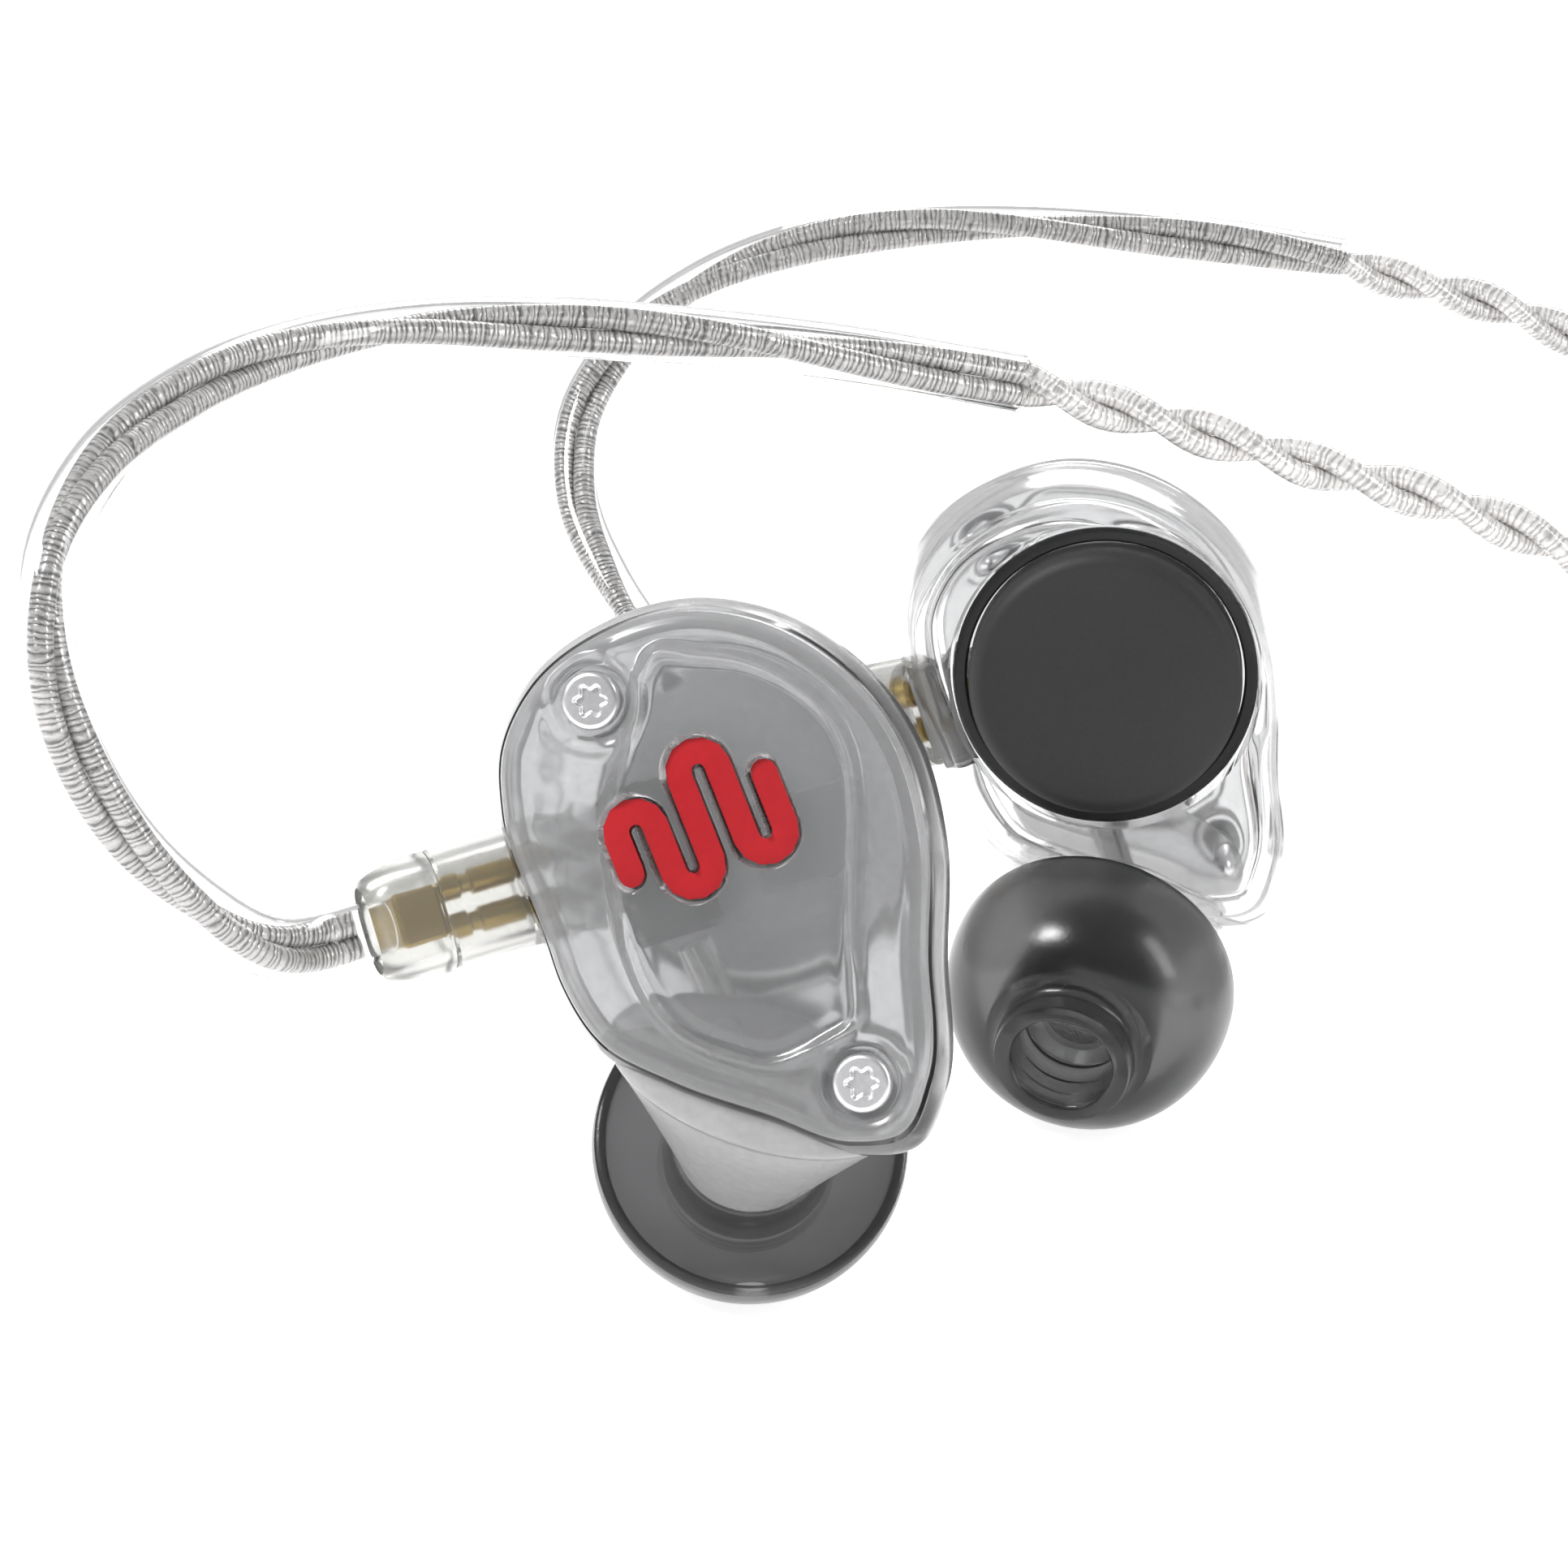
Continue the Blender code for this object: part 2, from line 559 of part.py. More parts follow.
def shell_mesh():
    """Clear shell: body, socket boss, cowl and nozzle, hollowed and open at the faceplate."""
    boss_width = PLUG_WIDTH + 2 * SOCKET_BOSS_WALL
    boss_height = PLUG_HEIGHT + 2 * SOCKET_BOSS_WALL
    boss = bar(boss_width, boss_height, PLUG_CORNER, -SOCKET_LENGTH - 1.2, PLUG_SEAT / 2, plug_frame())
    mesh = joined(shell_block(0.0), cowl(), boss)
    mesh = cut(mesh, shell_block(WALL))
    columns = [screw_column(place) for place in SCREW_PLACES.values()]
    mesh = joined(mesh, nozzle(), *columns)
    above = rounded_box((60.0, 60.0, 10.0), 0.01, Matrix.Translation((0.0, 0.0, RIM_Z + 5.0)))
    bore = cylinder(NOZZLE_BORE, NOZZLE_SHOULDER - 5.0, NOZZLE_END + 1.0, nozzle_frame())
    driver = Matrix.Translation((DRIVER_CENTRE[0], DRIVER_CENTRE[1], 0.0))
    cap_top = DRIVER_FACE_Z + CAP_DEPTH
    opening = cylinder(DRIVER_DIAMETER + 2 * CLEARANCE, DRIVER_FACE_Z - 1.0, cap_top + CLEARANCE, driver, 28)
    ring_low = DRIVER_FACE_Z + RING_STEP
    groove = cylinder(RING_DIAMETER + 2 * CLEARANCE, ring_low - CLEARANCE,
                      ring_low + RING_DEPTH + CLEARANCE, driver, 28)
    pocket = bar(PLUG_WIDTH + 2 * CLEARANCE, PLUG_HEIGHT + 2 * CLEARANCE, PLUG_CORNER + CLEARANCE,
                 -PLUG_SEAT - CLEARANCE, 4.0, plug_frame())
    seat = bar(SOCKET_WIDTH + 2 * CLEARANCE, SOCKET_HEIGHT + 2 * CLEARANCE, 0.5,
               -PLUG_SEAT - SOCKET_LENGTH - 3.0, 0.0, plug_frame())
    flange_low = -PLUG_SEAT - FLANGE_START - FLANGE_LENGTH
    flange_seat = bar(FLANGE_WIDTH + 2 * CLEARANCE, FLANGE_HEIGHT + 2 * CLEARANCE, 0.4,
                      flange_low - 2.0, -PLUG_SEAT - FLANGE_START + CLEARANCE, plug_frame())
    channel = round_cord(sound_tube_path(), SOUND_TUBE + 4 * CLEARANCE)
    mesh = cut(mesh, above, bore, opening, groove, pocket, seat, flange_seat, channel)
    for place in SCREW_PLACES.values():
        matrix = Matrix.Translation((place[0], place[1], 0.0))
        pilot = SCREW_SHANK + 2 * CLEARANCE
        low = RIM_Z + HAIR + SCREW_SEAT - SCREW_LENGTH - 0.3
        mesh = cut(mesh, cylinder(pilot, low, RIM_Z + 1.0, matrix, 10))
    return mesh


def face_mesh():
    """Clear faceplate with a raised field, two screw wells and a pocket for the mark."""
    outline = face_outline()
    low = RIM_Z + HAIR
    rings = [at_height(outline, low)]
    for distance, height in FACE_STEPS:
        rings.append(at_height(inset(outline, distance), RIM_Z + height))
    rings.append(at_height(inset(outline, PLATEAU_INSET), RIM_Z + PLATEAU))
    mesh = loft(rings)
    for place in SCREW_PLACES.values():
        matrix = Matrix.Translation((place[0], place[1], 0.0))
        well = cylinder(SCREW_WELL, low + SCREW_SEAT, RIM_Z + PLATEAU + 1.0, matrix, 18)
        hole = cylinder(SCREW_SHANK + 2 * CLEARANCE, low - 1.0, low + SCREW_SEAT + 0.2, matrix, 10)
        mesh = cut(mesh, well, hole)
    floor = RIM_Z + PLATEAU - MARK_SINK - MARK_DEPTH - HAIR
    return cut(mesh, mark_solid(CLEARANCE, floor, RIM_Z + PLATEAU + 1.0))


def mark_line():
    """Middle line of the mark: upright runs joined by half circles."""
    radius = MARK_PITCH / 2
    points = []
    for i, (start, end) in enumerate(MARK_RUNS):
        x = (i - (len(MARK_RUNS) - 1) / 2) * MARK_PITCH
        for share in (0.0, 0.5, 1.0):
            points.append((x, start + (end - start) * share))
        if i + 1 < len(MARK_RUNS):
            side = 1.0 if end > start else -1.0
            for angle in np.linspace(math.pi, 0.0, 7)[1:-1]:
                points.append((x + radius + radius * math.cos(angle), end + side * radius * math.sin(angle)))
    return np.array(points)


def mark_solid(grow, low, high):
    """The mark's stroke with round ends, between two heights."""
    line = mark_line()
    half = MARK_STROKE / 2 + grow
    slope = np.gradient(line, axis=0)
    slope /= np.linalg.norm(slope, axis=1)[:, None]
    normal = np.column_stack([-slope[:, 1], slope[:, 0]])
    right, left = line - normal * half, line + normal * half
    arc = np.linspace(-math.pi / 2, math.pi / 2, 7)[1:-1, None]
    end_cap = line[-1] + half * (np.cos(arc) * slope[-1] + np.sin(arc) * normal[-1])
    start_cap = line[0] - half * (np.cos(arc) * slope[0] + np.sin(arc) * normal[0])
    outline = np.vstack([right, end_cap, left[::-1], start_cap])
    mesh = loft([at_height(outline, low), at_height(outline, high)])
    turn = Matrix.Rotation(math.radians(MARK_TILT), 4, "Z")
    mesh.transform(Matrix.Translation((MARK_CENTRE[0], MARK_CENTRE[1], 0.0)) @ turn)
    return mesh


def inlay_mesh():
    """Red inlay, a step below the raised field."""
    top = RIM_Z + PLATEAU - MARK_SINK
    return mark_solid(0.0, top - MARK_DEPTH, top)


def screw_mesh(place):
    """Pan-head screw with a six-lobed drive."""
    seat = RIM_Z + 2 * HAIR + SCREW_SEAT
    top = seat + SCREW_HEAD_HEIGHT
    head = SCREW_HEAD / 2
    profile = [(0.0, top), (head - 0.25, top), (head, top - 0.25), (head, seat), (SCREW_SHANK / 2, seat),
               (SCREW_SHANK / 2, seat - SCREW_LENGTH + 0.4), (SCREW_SHANK / 4, seat - SCREW_LENGTH),
               (0.0, seat - SCREW_LENGTH)]
    matrix = Matrix.Translation((place[0], place[1], 0.0))
    angles = np.linspace(0.0, 2 * math.pi, 12, endpoint=False)
    radii = SCREW_STAR * (0.86 + 0.14 * np.cos(6 * angles))
    star = np.column_stack([radii * np.cos(angles), radii * np.sin(angles)])
    drive = loft([at_height(star, top - SCREW_STAR_DEPTH), at_height(star, top + 1.0)])
    drive.transform(matrix)
    return cut(turned(profile, matrix, 14), drive)


def driver_meshes():
    """Black driver cap with a rounded edge, its magnet, and the ring that seals it."""
    place = Matrix.Translation((DRIVER_CENTRE[0], DRIVER_CENTRE[1], 0.0))
    radius = DRIVER_DIAMETER / 2
    cap_top = DRIVER_FACE_Z + CAP_DEPTH
    profile = [(0.0, cap_top), (radius, cap_top)]
    for angle in np.linspace(0.0, math.pi / 2, 4):
        profile.append((radius - CAP_EDGE + CAP_EDGE * math.cos(angle),
                        DRIVER_FACE_Z + CAP_EDGE - CAP_EDGE * math.sin(angle)))
    profile.append((0.0, DRIVER_FACE_Z))
    cap = turned(profile, place, 28)
    magnet = cylinder(MAGNET_DIAMETER, cap_top + HAIR, cap_top + HAIR + MAGNET_DEPTH, place, 24)
    low = DRIVER_FACE_Z + RING_STEP
    outer, inner = RING_DIAMETER / 2, radius + CLEARANCE
    ring = turned([(inner, low + RING_DEPTH), (outer, low + RING_DEPTH), (outer, low), (inner, low)],
                  place, 28)
    return cap, magnet, ring


def block(size, centre, edge):
    """Block turned in the faceplate's plane."""
    turn = Matrix.Rotation(math.radians(BLOCK_TILT), 4, "Z")
    return rounded_box(size, edge, Matrix.Translation(centre) @ turn)


def sound_tube_path():
    """Middle line of the tube from the armature driver's end to the nozzle's bore."""
    end = nozzle_frame() @ Vector((0.0, 0.0, NOZZLE_SHOULDER - 1.2))
    inlet = nozzle_frame() @ Vector((0.0, 0.0, NOZZLE_SHOULDER - 3.2))
    turn = Matrix.Rotation(math.radians(BLOCK_TILT), 4, "Z")
    below = turn @ Vector((0.4, -ARMATURE_SIZE[1] / 2 - CORD_GAP - CLEARANCE, 0.0))
    start = Vector(ARMATURE_CENTRE) + below
    bend = start + turn @ Vector((0.2, -1.6, -0.3))
    return smooth_route([tuple(start), tuple(bend), tuple(inlet), tuple(end)], 1.4)


def sound_tube_mesh():
    """Tube that carries the armature driver's sound to the nozzle."""
    return hollow_tube(sound_tube_path(), SOUND_TUBE, SOUND_TUBE_WALL, 8)


def nozzle_mesh_mesh():
    """Screen that closes the nozzle's bore."""
    high = NOZZLE_END - MESH_INSET
    return cylinder(NOZZLE_BORE - 2 * CLEARANCE, high - MESH_DEPTH, high, nozzle_frame(), 24)


def tip_profile():
    """Closed profile of the ear tip: nose, dome, skirt, inside of the skirt, core and bore."""
    nose, core, outer = TIP_NOSE / 2, TIP_CORE / 2, TIP_DIAMETER / 2
    bore = TIP_BORE / 2
    seat = NOZZLE_DIAMETER / 2 + NOZZLE_LIP + CLEARANCE
    back = NOZZLE_SHOULDER + CLEARANCE
    points = [(bore + 0.15, TIP_LENGTH), (nose - 0.25, TIP_LENGTH), (nose, TIP_LENGTH - 0.3),
              (nose, TIP_DOME + 0.3)]
    angles = np.linspace(0.15, math.pi / 2, 6)
    for angle in angles:
        points.append((nose + (outer - nose) * math.sin(angle),
                       TIP_WAIST + (TIP_DOME - TIP_WAIST) * math.cos(angle)))
    points += [(outer - 0.08, 0.0), (outer - TIP_SKIRT, 0.05)]
    inner_outer = outer - TIP_SKIRT - 0.05
    for angle in angles[::-1]:
        points.append((core + (inner_outer - core) * math.sin(angle),
                       TIP_WAIST + (TIP_DOME - TIP_SKIRT - TIP_WAIST) * math.cos(angle)))
    points += [(core, TIP_WAIST), (core, back), (seat, back), (seat, NOZZLE_END + 0.3),
               (bore, NOZZLE_END + 0.5), (bore, TIP_LENGTH - 0.15)]
    return points


def tip_mesh():
    """Silicone ear tip."""
    return turned(tip_profile(), nozzle_frame(), 20)


# ---- connector -------------------------------------------------------------------------------
def pin_places():
    """Middles of the two pins across the plug's width."""
    return [(-PIN_PITCH / 2, 0.0), (PIN_PITCH / 2, 0.0)]


def socket_mesh():
    """Frosted socket with a flange and two pin holes."""
    frame = plug_frame()
    top = -PLUG_SEAT - CLEARANCE
    body = bar(SOCKET_WIDTH, SOCKET_HEIGHT, 0.4, top - SOCKET_LENGTH, top, frame)
    flange_top = -PLUG_SEAT - FLANGE_START
    flange = bar(FLANGE_WIDTH, FLANGE_HEIGHT, 0.3, flange_top - FLANGE_LENGTH, flange_top, frame)
    mesh = joined(body, flange)
    for x, y in pin_places():
        hole = cylinder(PIN_DIAMETER + 2 * CLEARANCE, top - SOCKET_LENGTH - 1.0, top + 1.0,
                        frame @ Matrix.Translation((x, y, 0.0)), 10)
        mesh = cut(mesh, hole)
    return mesh


def plug_bar(grow, low, high):
    """Bar of the plug's section, grown all round."""
    return bar(PLUG_WIDTH + 2 * grow, PLUG_HEIGHT + 2 * grow, PLUG_CORNER + grow, low, high, plug_frame())


def barrel_mesh():
    """Plug barrel: a sleeve with a front wall that holds the pins."""
    frame = plug_frame()
    mesh = plug_bar(0.0, -PLUG_SEAT, BARREL_END)
    mesh = cut(mesh, plug_bar(-PLUG_WALL, -PLUG_SEAT + 1.3, BARREL_END + 1.0))
    for x, y in pin_places():
        hole = cylinder(PIN_DIAMETER + 2 * HAIR, -PLUG_SEAT - 1.0, BARREL_END,
                        frame @ Matrix.Translation((x, y, 0.0)), 10)
        mesh = cut(mesh, hole)
    return mesh


def plug_cap_mesh():
    """Domed rear of the plug, hollow, with a hole for the ear guide."""
    low = BARREL_END + HAIR
    rings = []
    for share in (0.0, 0.3, 0.6, 0.8, 0.95, 1.0):
        shrink = 1.0 - math.sqrt(max(0.0, 1.0 - share * share))
        grow = -shrink * (PLUG_HEIGHT / 2 - GUIDE_DIAMETER / 2 + 0.25)
        corner = min(PLUG_CORNER + shrink * 0.2, PLUG_HEIGHT / 2 + grow - 0.02)
        section = rounded_section(PLUG_WIDTH + 2 * grow, PLUG_HEIGHT + 2 * grow, corner)
        rings.append(at_height(section, low + share * (CAP_END - low)))
    mesh = loft(rings)
    mesh.transform(plug_frame())
    mesh = cut(mesh, plug_bar(-PLUG_WALL, low - 1.0, GUIDE_START - 0.1))
    bore = cylinder(GUIDE_DIAMETER + 2 * CLEARANCE, GUIDE_START - 0.6, CAP_END + 1.0, plug_frame(), 14)
    return cut(mesh, bore)


def pin_mesh(place):
    """Gold pin, stepped down inside the plug."""
    matrix = plug_frame() @ Matrix.Translation((place[0], place[1], 0.0))
    radius = PIN_DIAMETER / 2
    low = -PLUG_SEAT - PIN_REACH
    profile = [(0.0, PIN_END), (radius * 0.55, PIN_END), (radius * 0.55, PIN_END - 1.4),
               (radius, PIN_END - 1.6), (radius, low + 0.25), (radius * 0.5, low), (0.0, low)]
    return turned(profile, matrix, 10)


def crimp_mesh():
    """Brass block that joins the wires to the pins."""
    width, height, length = CRIMP_SIZE
    matrix = plug_frame() @ Matrix.Translation((0.0, 0.0, PIN_END + HAIR + length / 2))
    return rounded_box((width, height, length), 0.15, matrix)


# ---- placing pieces --------------------------------------------------------------------------
def material(name):
    """Plain Principled material of the sub-part."""
    found = bpy.data.materials.get(name)
    if found:
        return found
    colour, roughness, metallic = COLOURS[name]
    made = bpy.data.materials.new(name)
    made.use_nodes = True
    shader = made.node_tree.nodes["Principled BSDF"]
    shader.inputs["Base Color"].default_value = (*colour, 1.0)
    shader.inputs["Roughness"].default_value = roughness
    shader.inputs["Metallic"].default_value = metallic
    made.diffuse_color = (*colour, 1.0)
    return made


def add_piece(collection, name, mesh, finish, parent=None, location=(0.0, 0.0, 0.0)):
    """Named object of the model."""
    mesh.name = name
    mesh.materials.clear()
    mesh.materials.append(material(finish))
    mesh.shade_smooth()
    mesh.set_sharp_from_angle(angle=math.radians(32.0))
    obj = bpy.data.objects.new(name, mesh)
    obj.location = location
    obj.parent = parent
    collection.objects.link(obj)
    return obj


class Side:
    """One side of the set: where its earpiece frame stands, and whether it is mirrored."""

    def __init__(self, name, place, turn, mirrored, collection):
        self.name = name
        self.flip = Matrix.Diagonal((1.0, 1.0, -1.0 if mirrored else 1.0, 1.0))
        self.mirrored = mirrored
        self.collection = collection
        rotation = Euler([math.radians(angle) for angle in turn], "XYZ").to_matrix().to_4x4()
        self.matrix = Matrix.Translation(Vector(place)) @ rotation
        self.turn = self.matrix.to_euler("XYZ")
        self.earpiece = self.empty("earpiece")
        self.plug = self.empty("plug")

    def world(self, point):
        """World place, in millimetres, of a point of the drawing."""
        return self.matrix @ (self.flip @ Vector(point))

    def empty(self, name):
        """Frame on the plug's axis that carries the pieces of one body."""
        frame = bpy.data.objects.new(f"{self.name}_{name}_frame", None)
        frame.location = self.world(SOCKET_PLACE) * MM
        frame.rotation_euler = self.turn
        self.collection.objects.link(frame)
        return frame

    def add(self, name, mesh, finish, parent, anchor=SOCKET_PLACE):
        """Copy of a drawn mesh, mirrored where needed, with its origin at the anchor."""
        data = mesh.copy()
        data.transform(Matrix.Translation(-Vector(anchor)))
        data.transform(self.flip)
        if self.mirrored:
            data.flip_normals()
        data.transform(Matrix.Scale(MM, 4))
        offset = (self.flip @ (Vector(anchor) - Vector(SOCKET_PLACE))) * MM
        return add_piece(self.collection, f"{self.name}_{name}", data, finish, parent, offset)


def add_world(collection, name, mesh, finish):
    """Piece drawn in world millimetres."""
    mesh.transform(Matrix.Scale(MM, 4))
    return add_piece(collection, name, mesh, finish)


def earpiece_drawings():
    """Meshes of everything that comes off with an earpiece."""
    cap, magnet, ring = driver_meshes()
    drawings = [
        ("shell", shell_mesh(), "clear_shell"), ("faceplate", face_mesh(), "face_plate"),
        ("mark_inlay", inlay_mesh(), "inlay_red"), ("driver_cap", cap, "driver_black"),
        ("driver_magnet", magnet, "magnet_steel"), ("driver_ring", ring, "driver_black"),
        ("armature_driver", block(ARMATURE_SIZE, ARMATURE_CENTRE, 0.3), "armature_can"),
        ("crossover_board", block(BOARD_SIZE, BOARD_CENTRE, 0.1), "board_green"),
        ("sound_tube", sound_tube_mesh(), "frosted"), ("connector_socket", socket_mesh(), "frosted"),
        ("nozzle_screen", nozzle_mesh_mesh(), "mesh_steel"),
    ]
    for name, place in SCREW_PLACES.items():
        drawings.append((f"screw_{name}", screw_mesh(place), "screw_steel"))
    return drawings


def plug_drawings():
    """Meshes of the plug on the cable."""
    first, second = pin_places()
    return [("plug_barrel", barrel_mesh(), "frosted"), ("plug_cap", plug_cap_mesh(), "frosted"),
            ("plug_pin_a", pin_mesh(first), "gold"), ("plug_pin_b", pin_mesh(second), "gold"),
            ("plug_crimp", crimp_mesh(), "gold")]


def guide_path(side, route):
    """Ear guide's path: straight out of the plug, then smoothly through the route's points."""
    frame = plug_frame()
    start, leave, ahead = [tuple(side.world(frame @ Vector((0.0, 0.0, distance))))
                           for distance in (GUIDE_START, CAP_END + 0.5, CAP_END + 1.5)]
    return np.vstack([[start], smooth_route([leave, ahead] + route, GUIDE_STEP)])


def add_guide(side, route):
    """Clear ear guide with the wires that run through it."""
    points = guide_path(side, route)
    tube = hollow_tube(points, GUIDE_DIAMETER, GUIDE_WALL)
    add_world(side.collection, f"{side.name}_ear_guide", tube, "frosted")
    wires = round_cord(shortened(points, CORD_GAP), GUIDE_WIRES)
    add_world(side.collection, f"{side.name}_guide_wires", wires, "wire_silver")


# ---- cable -----------------------------------------------------------------------------------
def coil_ring(radius, columns, layers, diameter, low):
    """Closed ring that holds the turns of a coil."""
    half = columns * diameter / 2 + COIL_SLACK
    high = low + layers * diameter + COIL_SLACK
    inner, outer = radius - half, radius + half
    edge = diameter * 0.3
    profile = [(inner + edge, high), (outer - edge, high), (outer, high - edge), (outer, low + edge),
               (outer - edge, low), (inner + edge, low), (inner, low + edge), (inner, high - edge)]
    return turned(profile, Matrix.Translation((COIL_CENTRE[0], COIL_CENTRE[1], 0.0)), 28)


def main_coil_low():
    """Underside of the main lead's coil, which lies on the tie."""
    return TIE_THICKNESS + CLEARANCE


def main_coil_high():
    """Top of the main lead's coil."""
    return main_coil_low() + MAIN_COIL_LAYERS * MAIN_DIAMETER + COIL_SLACK


def branch_coil_low(layer):
    """Underside of a branch's coil, which lies on the coil below it."""
    step = BRANCH_DIAMETER + COIL_SLACK + CLEARANCE
    return main_coil_high() + CLEARANCE + layer * step


def cord_piece(collection, name, points, diameter):
    """Stretch of cord that isn't coiled."""
    path = smooth_route(points, 2.4 * diameter)
    add_world(collection, name, round_cord(path, diameter), "wire_silver")


def add_branch(side, guide_end, before, route, tail, layer):
    """Branch lead: from the ear guide to its coil, the coil, and on to the splitter."""
    heading = unit(Vector(guide_end) - Vector(before))
    start = Vector(guide_end) + heading * CORD_GAP
    points = [tuple(start)] + route
    cord_piece(side.collection, f"{side.name}_branch_lead", points, BRANCH_DIAMETER)
    ring = coil_ring(BRANCH_COIL_RADIUS, BRANCH_COIL_COLUMNS, 1, BRANCH_DIAMETER, branch_coil_low(layer))
    add_world(side.collection, f"{side.name}_branch_coil", ring, "wire_silver")
    cord_piece(side.collection, f"{side.name}_branch_tail", tail, BRANCH_DIAMETER)


def add_main_lead(collection):
    """Main lead: from the splitter to its coil, the coil, and on to the plug."""
    cord_piece(collection, "main_lead_start", MAIN_START_ROUTE, MAIN_DIAMETER)
    ring = coil_ring(MAIN_COIL_RADIUS, MAIN_COIL_COLUMNS, MAIN_COIL_LAYERS, MAIN_DIAMETER, main_coil_low())
    add_world(collection, "main_lead_coil", ring, "wire_silver")
    cord_piece(collection, "main_lead_end", MAIN_END_ROUTE, MAIN_DIAMETER)


def add_splitter(collection):
    """Splitter where the two branches join the main lead."""
    radius = SPLITTER_DIAMETER / 2
    length = SPLITTER_LENGTH
    profile = [(0.0, length), (radius * 0.6, length), (radius * 0.8, length - 0.5),
               (radius, length * 0.55), (radius, 0.5), (radius - 0.5, 0.0), (0.0, 0.0)]
    mesh = turned(profile, frame_along(SPLITTER_START, SPLITTER_AXIS), 18)
    add_world(collection, "cable_splitter", mesh, "plug_black")


def add_tie(collection):
    """Band around both coils."""
    high = branch_coil_low(1) + BRANCH_DIAMETER + COIL_SLACK
    half_main = MAIN_COIL_COLUMNS * MAIN_DIAMETER / 2 + COIL_SLACK
    half_branch = BRANCH_COIL_COLUMNS * BRANCH_DIAMETER / 2 + COIL_SLACK
    inner = min(MAIN_COIL_RADIUS - half_main, BRANCH_COIL_RADIUS - half_branch)
    inner -= CORD_GAP + TIE_WIDTH ** 2 / (8 * inner)
    outer = MAIN_COIL_RADIUS + half_main + CORD_GAP
    width, height = outer - inner, high + CORD_GAP - main_coil_low() + CLEARANCE
    section = rounded_section(width + 2 * TIE_THICKNESS, height + 2 * TIE_THICKNESS, 1.2)
    hole = rounded_section(width, height, 0.6)
    middle = Vector((inner + width / 2, 0.0, height / 2 + TIE_THICKNESS))
    frame = Matrix.Rotation(math.radians(TIE_ANGLE), 4, "Z") @ Matrix.Translation(middle)
    frame = Matrix.Translation((COIL_CENTRE[0], COIL_CENTRE[1], 0.0)) @ frame
    frame = frame @ Matrix.Rotation(math.radians(90.0), 4, "X")
    half = TIE_WIDTH / 2
    band = loft([at_height(section, -half), at_height(section, half)])
    gap = loft([at_height(hole, -half - 1.0), at_height(hole, half + 1.0)])
    mesh = cut(band, gap)
    mesh.transform(frame)
    add_world(collection, "coil_tie", mesh, "plug_black")


def add_jack(collection):
    """Stereo plug: strain relief, barrel and four-piece contact pin, lying beside the coil."""
    frame = frame_along((JACK_X, JACK_START_Y, JACK_BARREL / 2), (0.0, -1.0, 0.0))
    relief = JACK_RELIEF_DIAMETER / 2
    barrel = JACK_BARREL / 2
    stem = JACK_DIAMETER / 2
    end = JACK_RELIEF_LENGTH
    pieces = [("jack_relief", [(0.0, end), (relief, end), (relief * 0.75, 0.0), (0.0, 0.0)], "plug_black")]
    low, high = end + CLEARANCE, end + CLEARANCE + JACK_BARREL_LENGTH
    bore, floor = stem + JACK_BORE_GAP, high - JACK_BORE_DEPTH
    pieces.append(("jack_barrel", [(0.0, floor), (bore, floor), (bore, high), (barrel - 0.4, high),
                                   (barrel, high - 0.4), (barrel, low + 0.6), (barrel - 0.6, low),
                                   (0.0, low)], "screw_steel"))
    place = floor + HAIR
    parts = [("jack_sleeve", 5.6 + JACK_BORE_DEPTH, "gold"), ("jack_insulator_a", 0.5, "plug_black"),
             ("jack_ring", 2.2, "gold"), ("jack_insulator_b", 0.5, "plug_black"), ("jack_tip", 4.4, "gold")]
    for name, length, finish in parts:
        top = place + length
        profile = [(0.0, top), (stem, top), (stem, place), (0.0, place)]
        if name == "jack_tip":
            profile = [(0.0, top), (stem * 0.45, top), (stem * 0.95, top - 1.3),
                       (stem * 0.72, top - 2.2), (stem, top - 3.3), (stem, place), (0.0, place)]
        pieces.append((name, profile, finish))
        place = top + HAIR
    for name, profile, finish in pieces:
        add_world(collection, name, turned(profile, frame, 16), finish)


# ---- the whole set ---------------------------------------------------------------------------
def build():
    """Both earpieces on their cable."""
    for obj in list(bpy.data.objects):
        bpy.data.objects.remove(obj)
    collection = bpy.data.collections.new(COLLECTION)
    bpy.context.scene.collection.children.link(collection)
    left = Side("left", LEFT_PLACE, LEFT_TURN, False, collection)
    right = Side("right", RIGHT_PLACE, RIGHT_TURN, True, collection)
    earpiece, plug, tip = earpiece_drawings(), plug_drawings(), tip_mesh()
    for side in (left, right):
        for name, mesh, finish in earpiece:
            side.add(name, mesh, finish, side.earpiece)
        side.add("ear_tip", tip, "tip_silicone", side.earpiece, TIP_RIM)
        for name, mesh, finish in plug:
            side.add(name, mesh, finish, side.plug)
    add_guide(left, LEFT_GUIDE_ROUTE)
    add_guide(right, RIGHT_GUIDE_ROUTE)
    add_branch(left, LEFT_GUIDE_ROUTE[-1], LEFT_GUIDE_ROUTE[-2], LEFT_BRANCH_ROUTE, LEFT_TAIL_ROUTE, 0)
    add_branch(right, RIGHT_GUIDE_ROUTE[-1], RIGHT_GUIDE_ROUTE[-2], RIGHT_BRANCH_ROUTE,
               RIGHT_TAIL_ROUTE, 1)
    add_splitter(collection)
    add_main_lead(collection)
    add_tie(collection)
    add_jack(collection)


build()
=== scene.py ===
"""Looks of the in-ear monitors: clear shells, frosted faceplates, silicone tips and twisted cable.

Drawings of an earpiece are in millimetres in its own frame: x to the right and y up in the plane of
the faceplate, z outwards. The right earpiece is the mirror image of the left one. Every new piece
is a grid of points worked out from two parameters, laid in the world in metres.
"""
import math

